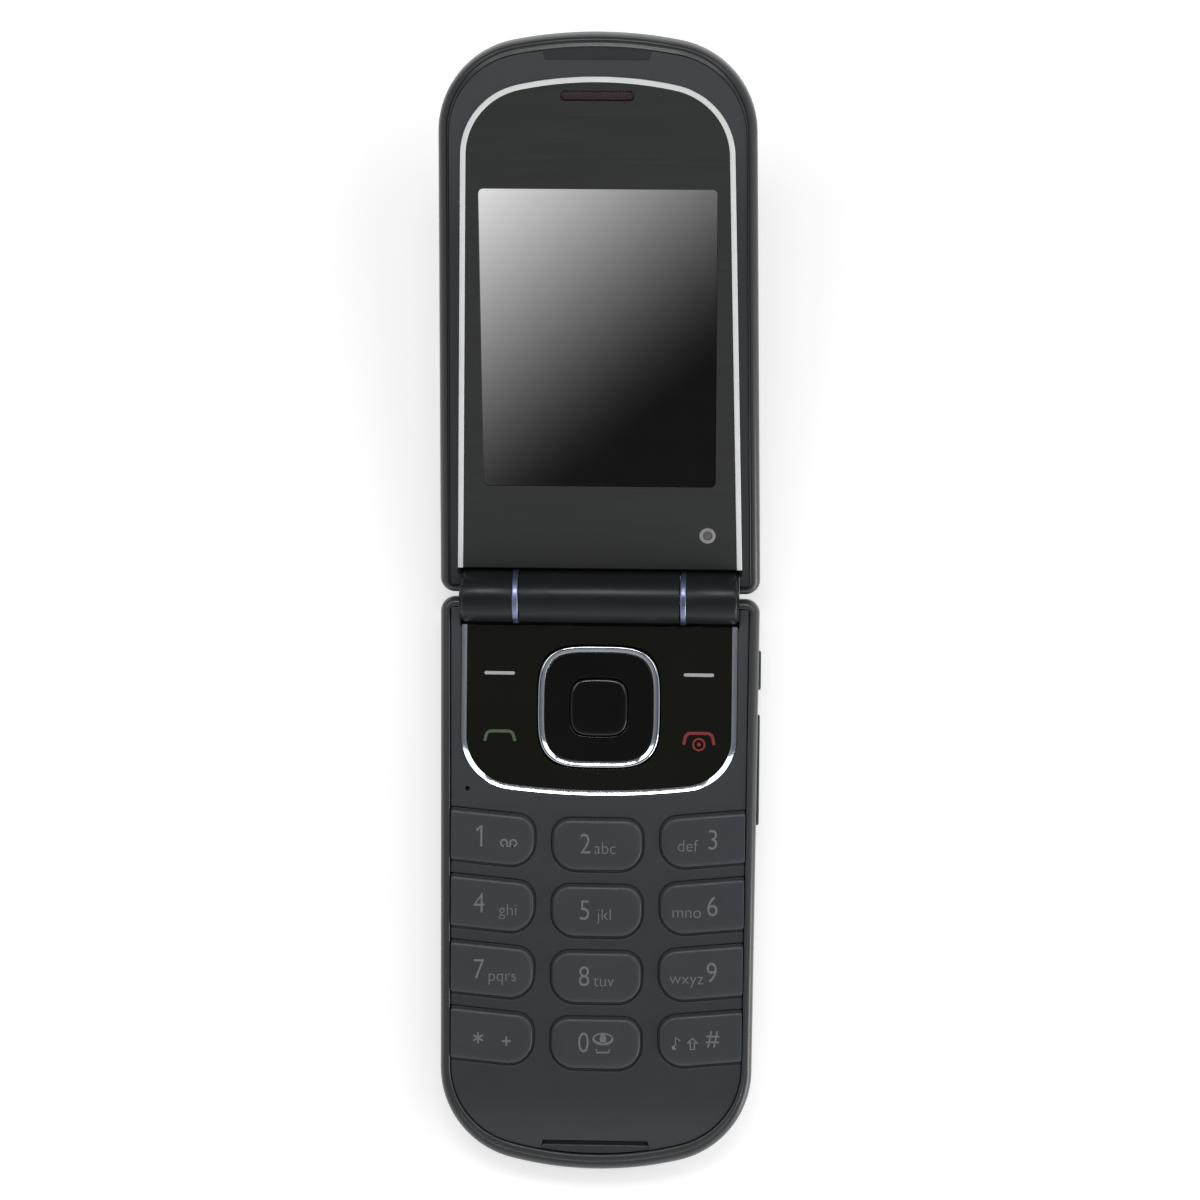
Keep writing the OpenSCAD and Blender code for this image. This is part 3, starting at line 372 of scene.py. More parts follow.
def key_outline(i, grow, out=0.0):
    """Outline of key i, grown on every side but the one at the rim, which gets out."""
    row, column = i // 3, i % 3 - 1
    r, low_r, side_r = KEY_R + grow, KEY_LOW_R + grow, KEY_SIDE_R
    if column == 0:
        y, h, w = ROW_Y + row * ROW_PITCH, KEY_H / 2 + grow, MID_KEY_HALF + grow
        return filleted([(-w, y - h, r), (w, y - h, r), (w, y + h, low_r), (-w, y + h, low_r)])
    near_in, near_out, far_out, far_in = side_key_corners(row, grow, out)
    right = filleted([(*near_in, r), (*near_out, side_r), (*far_out, side_r), (*far_in, low_r)])
    return right if column > 0 else mirrored(right)


def finger_tab(end_y, gap=0.0, gap_above=0.0):
    """Trapezoid of the finger tab that ends at end_y, with room round it."""
    top = end_y - TAB_L - gap_above
    return [(TAB_HALF + gap, end_y), (TAB_HALF * TAB_SLANT + gap, top),
            (-TAB_HALF * TAB_SLANT - gap, top), (-TAB_HALF - gap, end_y)]


# Solids

def ring_of(bm, loop, z):
    return [bm.verts.new((x, y, z)) for x, y in loop]


def strip(bm, low, high):
    """Band of faces between two rings of as many points."""
    for i in range(len(low)):
        j = (i + 1) % len(low)
        bm.faces.new((low[i], low[j], high[j], high[i]))


def cap(bm, rings):
    """Flat fill between an outer ring and the rings of its holes."""
    edges = []
    for ring in rings:
        for a, b in zip(ring, ring[1:] + ring[:1]):
            edges.append(bm.edges.get((a, b)) or bm.edges.new((a, b)))
    bmesh.ops.triangle_fill(bm, use_beauty=True, use_dissolve=False, edges=edges)


def add_loft(bm, levels):
    """Closed skin through (outline, height) levels of as many points."""
    rings = [ring_of(bm, loop, z) for loop, z in levels]
    for low, high in zip(rings, rings[1:]):
        strip(bm, low, high)
    cap(bm, rings[:1])
    cap(bm, rings[-1:])


def round_edge(r, n=4):
    """Insets and drops of a quarter-round edge, from the wall to the top."""
    turns = [pi / 2 * i / n for i in range(n + 1)]
    return [(r * (1 - cos(a)), r * (1 - sin(a))) for a in turns]


EDGE_SUPPORT = 0.05


def add_plate(bm, loops, low, high, edge=0.0, face_down=False):
    """Flat piece with round edges; loops[0] runs anticlockwise, and the holes after it clockwise."""
    levels = [(0, 0)] if edge == 0 else round_edge(edge) + [(edge + EDGE_SUPPORT, 0)]
    bottoms, tops = [], []
    for loop in loops:
        rings = [ring_of(bm, loop, high if face_down else low)]
        for inset, drop in levels:
            z = low + drop if face_down else high - drop
            rings.append(ring_of(bm, offset(loop, inset) if inset else loop, z))
        for a, b in zip(rings, rings[1:]):
            strip(bm, a, b)
        bottoms.append(rings[0])
        tops.append(rings[-1])
    cap(bm, bottoms)
    cap(bm, tops)


def add_block(bm, x0, x1, y0, y1, low, high):
    add_plate(bm, [[(x0, y0), (x1, y0), (x1, y1), (x0, y1)]], low, high)


def add_post(bm, spot, r, low, high, n=48):
    add_plate(bm, [circle(spot, r, n)], low, high)


def add_turned(bm, profile, along, spot=(0, 0), n=96):
    """Closed profile of (height, radius) points turned about x, or about z at a spot."""
    rings = []
    for i in range(n):
        a = 2 * pi * i / n
        if along == "x":
            points = [(h, r * cos(a), r * sin(a)) for h, r in profile]
        else:
            points = [(spot[0] + r * cos(a), spot[1] + r * sin(a), h) for h, r in profile]
        rings.append([bm.verts.new(p) for p in points])
    for low, high in zip(rings, rings[1:] + rings[:1]):
        strip(bm, low, high)
    bmesh.ops.remove_doubles(bm, verts=bm.verts, dist=1e-5)
    bmesh.ops.dissolve_degenerate(bm, edges=bm.edges, dist=1e-6)


def add_bar(bm, r, x0, x1):
    add_turned(bm, [(x0, 0), (x1, 0), (x1, r), (x0, r)], "x")


def both_sides(x0, x1, *rest):
    """Steps for a block from x0 to x1 and for its mirror image."""
    return [(add_block, x0, x1, *rest), (add_block, -x1, -x0, *rest)]


def as_mesh(bm, name):
    """Mesh of what a bmesh holds; the bmesh ends there."""
    mesh = bpy.data.meshes.new(name)
    bm.to_mesh(mesh)
    bm.free()
    return mesh


def solid(*steps):
    """Mesh of the closed solids that the steps add."""
    bm = bmesh.new()
    for step, *values in steps:
        step(bm, *values)
    bmesh.ops.recalc_face_normals(bm, faces=bm.faces)
    return as_mesh(bm, "solid")


def placed(name, data):
    """Object in the scene that shows the data."""
    made = bpy.data.objects.new(name, data)
    bpy.context.scene.collection.objects.link(made)
    return made


def evaluated_mesh(made):
    graph = bpy.context.evaluated_depsgraph_get()
    return bpy.data.meshes.new_from_object(made.evaluated_get(graph))


def shaped(mesh, *cuts):
    """The mesh after each (operation, tool mesh) has worked on it."""
    target = placed("helper", mesh)
    tools = []
    for operation, tool_mesh in cuts:
        tool = placed("helper", tool_mesh)
        work = target.modifiers.new(operation, "BOOLEAN")
        work.operation = operation
        work.solver = "EXACT"
        work.object = tool
        tools.append(tool)
    result = evaluated_mesh(target)
    for made in tools + [target]:
        bpy.data.objects.remove(made)
    return result


SMOOTH_BELOW = 33


def piece(name, mesh, finish, body, nodes=(), place=None):
    """Puts a mesh from the frame of its body's leaf in its place and hands it to its body."""
    place = place or (ON_LID if body == "lid" else ON_BASE)
    mesh.transform(place)
    if place.determinant() < 0:
        mesh.flip_normals()
    if finish:
        mesh.materials.clear()
        mesh.materials.append(finish)
    mesh.shade_smooth()
    mesh.set_sharp_from_angle(angle=radians(SMOOTH_BELOW))
    made = placed(name, mesh)
    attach(made, body)
    if nodes:
        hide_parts(*nodes)
    return made


# Finishes

def srgb(r, g, b):
    """Linear colour from 0 to 255 display values."""
    def linear(c):
        c = c / 255
        return c / 12.92 if c <= 0.04045 else ((c + 0.055) / 1.055) ** 2.4
    return linear(r), linear(g), linear(b), 1.0


class Graph:
    """A node tree with short ways to add nodes and feed them."""

    def __init__(self, tree):
        self.tree = tree

    def feed(self, target, value):
        """Links a socket or a node's first output into an input, or sets the input to a value."""
        if isinstance(value, bpy.types.Node):
            value = value.outputs[0]
        if isinstance(value, bpy.types.NodeSocket):
            self.tree.links.new(value, target)
        else:
            target.default_value = value

    def node(self, kind, feeds=(), **settings):
        """A node with its settings and its (input, value, socket or node) pairs."""
        made = self.tree.nodes.new(kind)
        for key, value in settings.items():
            setattr(made, key, value)
        for key, value in feeds:
            self.feed(made.inputs[key], value)
        return made

    def math(self, operation, a, b, **settings):
        return self.node("ShaderNodeMath", [(0, a), (1, b)], operation=operation, **settings).outputs[0]

    def dot(self, a, b):
        return self.node("ShaderNodeVectorMath", [(0, a), (1, b)], operation="DOT_PRODUCT").outputs["Value"]

    def map_range(self, value, source, target, **settings):
        """The value moved from one (low, high) range to another."""
        return self.node("ShaderNodeMapRange", [
            ("Value", value), ("From Min", source[0]), ("From Max", source[1]),
            ("To Min", target[0]), ("To Max", target[1])], **settings).outputs["Result"]


# Range in which most of a noise lies
NOISE_RANGE = 0.3, 0.7


class Finish(Graph):
    """A material with its shader and short ways to wire noise into it."""

    def __init__(self, name):
        self.material = bpy.data.materials.new(name)
        self.material.use_nodes = True
        super().__init__(self.material.node_tree)
        self.shader = self.tree.nodes["Principled BSDF"]
        self.place = self.node("ShaderNodeTexCoord").outputs["Object"]

    def noise(self, scale, detail, stretch=(1, 1, 1), turn_x=0.0):
        """Noise on object coordinates, with features about 1 / scale metres across."""
        mapping = self.node("ShaderNodeMapping", [
            ("Vector", self.place), ("Scale", stretch), ("Rotation", (radians(turn_x), 0, 0))])
        return self.node("ShaderNodeTexNoise", [
            ("Vector", mapping), ("Scale", scale), ("Detail", detail)]).outputs["Fac"]

    def along_y(self, start, end):
        """Factor that grows over the noise range between two places along the object."""
        y = self.node("ShaderNodeSeparateXYZ", [(0, self.place)]).outputs["Y"]
        return self.map_range(y, (start, end), NOISE_RANGE, interpolation_type="SMOOTHSTEP")

    def colour(self, fac, dark, light):
        mix = self.node("ShaderNodeMix", [
            ("Factor", self.map_range(fac, NOISE_RANGE, (0, 1))), (6, dark), (7, light)], data_type="RGBA")
        self.set(Base_Color=mix.outputs[2])

    def roughness(self, fac, low, high):
        self.set(Roughness=self.map_range(fac, NOISE_RANGE, (low, high)))

    def bump(self, fac, depth, strength=1.0):
        bump = self.node("ShaderNodeBump", [("Height", fac), ("Distance", depth), ("Strength", strength)])
        self.set(Normal=bump)

    def set(self, **values):
        for key, value in values.items():
            self.feed(self.shader.inputs[key.replace("_", " ")], value)


def tint(colour, share):
    """The colour made lighter or darker by a share."""
    return tuple(c * share for c in colour[:3]) + (1.0,)


def surface(name, flow, dark, light, shine, low, high, **values):
    """Finish whose colour and roughness follow noises of a (scale, detail)."""
    finish = Finish(name)
    finish.colour(finish.noise(*flow), dark, light)
    finish.roughness(finish.noise(*shine), low, high)
    finish.set(**values)
    return finish


# Noise of moulded plastic, in features a metre, and depth of its grain in metres
FLOW_SCALE = 140
SHEEN_SCALE = 420
GRAIN_SCALE = 7000
GRAIN_DEPTH = 0.0000015
FACE_GRAIN_DEPTH = 0.000004


def moulded(name, colour, rough, sheen=0.3):
    """Moulded plastic: fine grain, faint flow in the colour and uneven sheen."""
    # Twice this range of roughness showed as small dark patches on the covers
    finish = surface(name, (FLOW_SCALE, 3), tint(colour, 0.95), tint(colour, 1.05),
                     (SHEEN_SCALE, 3), rough - 0.02, rough + 0.02, Specular_IOR_Level=sheen)
    finish.bump(finish.noise(GRAIN_SCALE, 2), GRAIN_DEPTH)
    return finish.material


def crowned(name, dark, light, rough, ends):
    """Moulded plastic with painted light: its colour pales towards one end or both, though the cover itself
    is flat.
    """
    finish = Finish(name)
    fac = finish.along_y(*ends[0])
    for end in ends[1:]:
        fac = finish.math("MAXIMUM", fac, finish.along_y(*end))
    finish.colour(fac, dark, light)
    finish.roughness(finish.noise(SHEEN_SCALE, 3), rough - 0.04, rough + 0.04)
    finish.bump(finish.noise(GRAIN_SCALE, 2), FACE_GRAIN_DEPTH)
    finish.set(Specular_IOR_Level=0.3)
    return finish.material


def gloss_black(name, colour, rough, sheen=0.5):
    """Black lacquer with a little unevenness."""
    finish = surface(name, (90, 2), tint(colour, 0.88), tint(colour, 1.12),
                     (260, 4), rough * 0.92, rough * 1.1, Specular_IOR_Level=sheen)
    finish.bump(finish.noise(900, 2), 0.000002, 0.2)
    return finish.material


def plated(name, colour, rough, metal=1.0):
    """Bright plating with a faint unevenness in its shine, or metal paint where metal is low."""
    return surface(name, (300, 2), tint(colour, 0.96), tint(colour, 1.03),
                   (900, 4), rough * 0.75, rough * 1.3, Metallic=metal).material


def brushed(name, colour, rough):
    """Dark metal sheet with fine lines across it."""
    finish = Finish(name)
    lines = finish.noise(5200, 3, stretch=(0.012, 1, 1), turn_x=-LID_RISE)
    finish.colour(lines, tint(colour, 0.94), tint(colour, 1.06))
    finish.roughness(lines, rough - 0.07, rough + 0.07)
    finish.bump(lines, 0.000004)
    finish.set(Metallic=0.35)
    return finish.material


def printed(name, colour):
    """Thin print with a slightly uneven cover."""
    return surface(name, (2400, 3), tint(colour, 0.9), tint(colour, 1.06), (1500, 2), 0.45, 0.6).material


def soldered_board(name):
    """Green board with lighter tracks."""
    tracks = 700, 2, (1, 0.15, 1)
    return surface(name, tracks, srgb(16, 62, 36), srgb(38, 104, 62), (500, 3), 0.35, 0.5).material


# Fall of the display's painted sheen, a glow in its material, across its face, from (0, 0) to (1, 1), and
# its level and contrast
PAINTED_SHEEN_FALL = (-0.459, 0.667, 0)
PAINTED_SHEEN_LEVEL = 0.2
PAINTED_SHEEN_POWER = 2.2


def sheened_display(name):
    """Display behind its window, with a painted sheen that glows in its material, grey and brightest in the
    upper left corner.
    """
    finish = surface(name, (200, 2), srgb(10, 10, 11), srgb(14, 14, 15), (150, 2), 0.09, 0.13)
    place = finish.node("ShaderNodeUVMap", uv_map="screen")
    level = finish.math("ADD", finish.dot(place, PAINTED_SHEEN_FALL), PAINTED_SHEEN_LEVEL, use_clamp=True)
    finish.set(Emission_Color=finish.math("POWER", level, PAINTED_SHEEN_POWER), Emission_Strength=1.0,
               Specular_IOR_Level=0.15)
    return finish.material


RIM_PLASTIC = moulded("rim_plastic", srgb(58, 60, 62), 0.3, 0.5)
LID_PLASTIC = moulded("lid_plastic", srgb(46, 48, 50), 0.3, 0.5)
# Painted light on the inner covers: the lid's face pales towards its far end, and the base's face pales
# towards the hinge and towards its far end
LID_FACE = crowned("lid_face", srgb(48, 50, 52), srgb(64, 67, 70), 0.42, [(0.092, 0.116)])
FACE_PLASTIC = crowned("face_plastic", srgb(54, 58, 62), srgb(64, 69, 73), 0.46,
                       [(-0.012, 0.06), (-0.031, -0.039)])
KEY_PLASTIC = moulded("key_plastic", srgb(65, 69, 73), 0.32, 0.28)
SIDE_KEY_PLASTIC = moulded("side_key_plastic", srgb(50, 53, 56), 0.36)
FUNCTION_BLACK = gloss_black("function_black", srgb(22, 22, 18), 0.12)
NAV_BLACK = gloss_black("nav_black", srgb(13, 14, 13), 0.14)
BARREL_LACQUER = gloss_black("barrel_lacquer", srgb(28, 30, 33), 0.3, 0.27)
WINDOW_BLACK = gloss_black("window_black", srgb(9, 10, 12), 0.06)
LENS_BLACK = gloss_black("lens_black", srgb(6, 6, 10), 0.05)
BRIGHT_PLATING = plated("bright_plating", srgb(206, 212, 220), 0.1)
RING_PLATING = plated("ring_plating", srgb(140, 146, 180), 0.38)
SMALL_RING = plated("small_ring", srgb(148, 149, 147), 0.45, 0.3)
SMALL_LENS = plated("small_lens", srgb(100, 101, 99), 0.4, 0.2)
SILVER_PAINT = plated("silver_paint", srgb(228, 230, 230), 0.42, 0.1)
PANEL_METAL = brushed("panel_metal", srgb(47, 48, 48), 0.5)
WIRE_CLOTH = moulded("wire_cloth", srgb(82, 66, 69), 0.5)
STEEL = plated("steel", srgb(168, 171, 174), 0.3)
GOLD_CONTACT = plated("gold_contact", srgb(214, 176, 92), 0.25)
DOME_FILM = moulded("dome_film", srgb(34, 35, 37), 0.4)
CELL_WRAP = moulded("cell_wrap", srgb(70, 74, 77), 0.45)
CABLE_FILM = moulded("cable_film", srgb(44, 36, 30), 0.35)
MODULE_CASE = moulded("module_case", srgb(40, 42, 44), 0.5)
BOARD = soldered_board("board")
DISPLAY = sheened_display("display_glow")
PRINT_LIGHT = printed("print_light", srgb(176, 180, 182))
PRINT_KEY = printed("print_key", srgb(112, 117, 120))
PRINT_GREEN = printed("print_green", srgb(72, 96, 64))
PRINT_RED = printed("print_red", srgb(132, 36, 40))


# Geometry Nodes

class NodeTree(Graph):
    """A Geometry Nodes tree with named inputs."""

    def __init__(self, name, **inputs):
        super().__init__(bpy.data.node_groups.new(name, "GeometryNodeTree"))
        for key, kind in {"Geometry": "Geometry", **inputs}.items():
            self.tree.interface.new_socket(key, in_out="INPUT", socket_type="NodeSocket" + kind)
        self.tree.interface.new_socket("Geometry", in_out="OUTPUT", socket_type="NodeSocketGeometry")
        self.inputs = self.node("NodeGroupInput")
        self.output = self.node("NodeGroupOutput")

    def vector(self, x=0.0, y=0.0, z=0.0):
        return self.node("ShaderNodeCombineXYZ", [("X", x), ("Y", y), ("Z", z)]).outputs[0]

    def value(self, name):
        return self.inputs.outputs[name]

    def end(self, geometry):
        """Ends the tree in real geometry with its finish."""
        real = self.node("GeometryNodeRealizeInstances", [("Geometry", geometry)])
        painted = self.node("GeometryNodeSetMaterial", [
            ("Geometry", real), ("Material", self.value("Finish"))])
        self.feed(self.output.inputs["Geometry"], painted)

    def grown(self, mesh, **values):
        """Plain mesh that the tree makes from a mesh."""
        made = placed("helper", mesh)
        work = made.modifiers.new("grow", "NODES")
        work.node_group = self.tree
        for item in self.tree.interface.items_tree:
            if item.in_out == "INPUT" and item.name in values:
                work[item.identifier] = values[item.name]
        result = evaluated_mesh(made)
        bpy.data.objects.remove(made)
        return result


def path_mesh(points, z, closed):
    """Edges along a line at one height."""
    mesh = bpy.data.meshes.new("path")
    count = len(points)
    edges = [(i, (i + 1) % count) for i in range(count if closed else count - 1)]
    mesh.from_pydata([(x, y, z) for x, y in points], edges, [])
    return mesh


def spots_mesh(spots, z):
    mesh = bpy.data.meshes.new("spots")
    mesh.from_pydata([(x, y, z) for x, y in spots], [], [])
    return mesh


def swept_strip_tree():
    """A strip that follows a flat line, with round upper edges and a face that may lean to the inside."""
    tree = NodeTree("swept_strip", Width="Float", Height="Float", Fall="Float", Inner_edge="Float",
                    Outer_edge="Float", Finish="Material")
    line = tree.node("GeometryNodeMeshToCurve", [("Mesh", tree.value("Geometry"))])
    level = tree.node("GeometryNodeSetCurveNormal", [("Curve", line)], mode="Z_UP")
    outer = tree.math("MULTIPLY", tree.value("Width"), 0.5)
    inner = tree.math("MULTIPLY", tree.value("Width"), -0.5)
    low = tree.math("MULTIPLY", tree.value("Height"), 0.5)
    top = tree.math("MULTIPLY", tree.value("Height"), -0.5)
    fallen = tree.math("ADD", top, tree.value("Fall"))
    section = tree.node("GeometryNodeCurvePrimitiveQuadrilateral", [
        ("Point 1", tree.vector(inner, fallen)), ("Point 2", tree.vector(outer, top)),
        ("Point 3", tree.vector(outer, low)), ("Point 4", tree.vector(inner, low))], mode="POINTS")
    corner = tree.node("GeometryNodeInputIndex").outputs[0]
    inside = tree.math("MULTIPLY", tree.math("COMPARE", corner, 0), tree.value("Inner_edge"))
    outside = tree.math("MULTIPLY", tree.math("COMPARE", corner, 1), tree.value("Outer_edge"))
    rounded = tree.node("GeometryNodeFilletCurve", [
        ("Curve", section), ("Count", 6), ("Radius", tree.math("ADD", inside, outside))],
        mode="POLY")
    swept = tree.node("GeometryNodeCurveToMesh", [
        ("Curve", level), ("Profile Curve", rounded), ("Fill Caps", True)])
    tree.end(swept)
    return tree


def barrel_ring_tree():
    """Rings with a domed outer face, one on each spot, turned to lie across the x axis."""
    tree = NodeTree("barrel_ring", Middle="Float", Width="Float", Thickness="Float",
                    Edge="Float", Finish="Material")
    round_line = tree.node("GeometryNodeCurvePrimitiveCircle", [
        ("Radius", tree.value("Middle")), ("Resolution", 96)])
    section = tree.node("GeometryNodeCurvePrimitiveQuadrilateral", [
        ("Width", tree.value("Thickness")), ("Height", tree.value("Width"))])
    rounded = tree.node("GeometryNodeFilletCurve", [
        ("Curve", section), ("Count", 5), ("Radius", tree.value("Edge"))], mode="POLY")
    ring = tree.node("GeometryNodeCurveToMesh", [
        ("Curve", round_line), ("Profile Curve", rounded)])
    rings = tree.node("GeometryNodeInstanceOnPoints", [
        ("Points", tree.value("Geometry")), ("Instance", ring),
        ("Rotation", (0, pi / 2, 0))])
    tree.end(rings)
    return tree


def screw_tree():
    """Screws with a crossed slot, one on each spot, with the head's face at the spot."""
    tree = NodeTree("screw", Head_radius="Float", Head_height="Float", Thread_radius="Float",
                    Thread_length="Float", Slot_length="Float", Slot_width="Float",
                    Slot_depth="Float", Face="Float", Finish="Material")
    half_head = tree.math("MULTIPLY", tree.value("Head_height"), -0.5)
    head = tree.node("GeometryNodeMeshCylinder", [
        ("Vertices", 40), ("Radius", tree.value("Head_radius")), ("Depth", tree.value("Head_height"))])
    head = tree.node("GeometryNodeTransform", [
        ("Geometry", head), ("Translation", tree.vector(z=half_head))])
    lap = tree.math("MULTIPLY", tree.value("Head_height"), -0.8)
    half_thread = tree.math("MULTIPLY", tree.value("Thread_length"), -0.5)
    thread = tree.node("GeometryNodeMeshCylinder", [
        ("Vertices", 24), ("Radius", tree.value("Thread_radius")), ("Depth", tree.value("Thread_length"))])
    thread = tree.node("GeometryNodeTransform", [
        ("Geometry", thread),
        ("Translation", tree.vector(z=tree.math("ADD", lap, half_thread)))])
    depth = tree.math("MULTIPLY", tree.value("Slot_depth"), 2.0)
    bars = []
    for x, y in (("Slot_length", "Slot_width"), ("Slot_width", "Slot_length")):
        size = tree.vector(tree.value(x), tree.value(y), depth)
        bars.append(("Mesh 2", tree.node("GeometryNodeMeshCube", [("Size", size)])))
    whole = tree.node("GeometryNodeMeshBoolean", [("Mesh 2", thread), ("Mesh 2", head)],
                      operation="UNION", solver="EXACT")
    slotted = tree.node("GeometryNodeMeshBoolean", [("Mesh 1", whole)] + bars,
                        operation="DIFFERENCE", solver="EXACT")
    facing = tree.vector(x=tree.value("Face"))
    screws = tree.node("GeometryNodeInstanceOnPoints", [
        ("Points", tree.value("Geometry")), ("Instance", slotted), ("Rotation", facing)])
    tree.end(screws)
    return tree


def wire_cloth_tree():
    """Wires on spots, each waving up and down past those that cross it."""
    tree = NodeTree("wire_cloth", Length="Float", Pitch="Float", Wave="Float", Wire="Float",
                    Turn="Float", Phase="Float", Finish="Material")
    half = tree.math("MULTIPLY", tree.value("Length"), 0.5)
    line = tree.node("GeometryNodeCurvePrimitiveLine", [
        ("Start", tree.vector(x=tree.math("MULTIPLY", half, -1.0))), ("End", tree.vector(x=half))])
    count = tree.math("MULTIPLY", tree.math("DIVIDE", tree.value("Length"), tree.value("Pitch")), 2.0)
    fine = tree.node("GeometryNodeResampleCurve", [("Curve", line), ("Count", count)])
    lines = tree.node("GeometryNodeInstanceOnPoints", [
        ("Points", tree.value("Geometry")), ("Instance", fine),
        ("Rotation", tree.vector(z=tree.value("Turn")))])
    real = tree.node("GeometryNodeRealizeInstances", [("Geometry", lines)])
    here = tree.node("GeometryNodeInputPosition").outputs[0]
    spot = tree.node("ShaderNodeSeparateXYZ", [(0, here)])
    steps = tree.math("DIVIDE", tree.math("ADD", spot.outputs["X"], spot.outputs["Y"]), tree.value("Pitch"))
    angle = tree.math("ADD", tree.math("MULTIPLY", steps, pi), tree.value("Phase"))
    rise = tree.math("MULTIPLY", tree.math("SINE", angle, 0.0), tree.value("Wave"))
    waved = tree.node("GeometryNodeSetPosition", [
        ("Geometry", real), ("Offset", tree.vector(z=rise))])
    section = tree.node("GeometryNodeCurvePrimitiveCircle", [
        ("Radius", tree.value("Wire")), ("Resolution", 6)])
    wires = tree.node("GeometryNodeCurveToMesh", [
        ("Curve", waved), ("Profile Curve", section), ("Fill Caps", True)])
    tree.end(wires)
    return tree


SWEPT_STRIP = swept_strip_tree()
BARREL_RING = barrel_ring_tree()
SCREW = screw_tree()
WIRE_LAYER = wire_cloth_tree()


# Outer covers

# Rims: widths from the inner wall along the sides and across the end, and drops, of groove and bead
BASE_BEAD = [(0.5, 1.15, 0.06), (0.498, 1.02, 0.1), (0.496, 0.9, 0.06), (0.46, 0.75, 0.01), (0.36, 0.55, 0),
             (0.2, 0.28, 0), (0.1, 0.12, 0.04), (0.03, 0.04, 0.12), (0, 0, 0.34)]
LID_BEAD = [(0.3, 0.88, 0.08), (0.298, 0.78, 0.2), (0.296, 0.64, 0.26), (0.28, 0.54, 0.23),
            (0.2, 0.44, 0.18), (0.12, 0.34, 0.12), (0.05, 0.24, 0.06), (0.02, 0.14, 0.015),
            (0.01, 0.05, 0.03), (0, 0, 0.28)]
RIM_ROUND_H = 1.5
RIM_STEPS = 8
GROOVE_SIDE, GROOVE_END = 0.02, 0.06
BACK_STEPS = 12
BACK_FLAT_IN = 0.4
WIDEST_TOP = -1


def back_levels(outline, t):
    """Outlines and heights of a cover's outside from its back to its widest line."""
    flat = BACK_TURN + BACK_FLAT_IN
    levels = [(outline(flat, flat), -t)]
    for i in range(BACK_STEPS + 1):
        a = radians(90 - 90 * i / BACK_STEPS)
        inset = BACK_TURN * (1 - cos(a))
        levels.append((outline(inset, inset), -BELLY - (t - BELLY) * sin(a)))
    return levels


def shell_levels(outline, t, rim_end, bead, floor):
    """Outlines and heights of a cup: outside, rim with groove and bead, and wall down to the floor."""
    levels = back_levels(outline, t)
    shoulder = -RIM_GAP - bead[0][2]
    round_side = RIM_SIDE - bead[0][0] - GROOVE_SIDE
    round_end = rim_end - bead[0][1] - GROOVE_END
    for i in range(RIM_STEPS + 1):
        a = radians(90 * i / RIM_STEPS)
        turn = 1 - cos(a)
        levels.append((outline(round_side * turn, round_end * turn), shoulder - RIM_ROUND_H * (1 - sin(a))))
    for side, end, drop in bead:
        levels.append((outline(RIM_SIDE - side, rim_end - end), -RIM_GAP - drop))
    levels.append((outline(RIM_SIDE, rim_end), floor))
    return levels


def solid_levels(outline, t):
    """The same outside, closed by a flat face above its widest line."""
    return back_levels(outline, t) + [(outline(0, 0), WIDEST_TOP)]


def barrel_room(floor):
    """Cutters for the room between the ears: a block above the floor, and a round bar."""
    block = (add_block, -NOTCH_HALF, NOTCH_HALF, -OVER - BARREL_GAP, NOTCH_Y + OVER, floor, OVER)
    bar = (add_bar, BARREL_R + BARREL_GAP, -NOTCH_HALF, NOTCH_HALF)
    return block, bar


def side_slot(side, y, length):
    x0, x1 = sorted((side * (HALF_W - RIM_SIDE - OVER), side * (HALF_W + OVER)))
    half_h = SIDE_KEY_H / 2 + SEAM
    return (add_block, x0, x1, y - length / 2 - SEAM, y + length / 2 + SEAM,
            SIDE_KEY_Z - half_h, SIDE_KEY_Z + half_h)


def tab_ridge(gap=0.0):
    """Finger tab of the base, whose far side follows the rim."""
    end_y, end_r = BASE_REACH - END_R, END_R - RIM_END - TAB_BACK_GAP
    low, top, *_ = finger_tab(BASE_REACH - RIM_END + TAB_LAP, gap, gap)
    across = [low[0] * (1 - 2 * i / TAB_STEPS) for i in range(TAB_STEPS + 1)]
    far = [(x, end_y + sqrt(end_r ** 2 - x ** 2)) for x in across]
    return [top] + far + [(-top[0], top[1])]


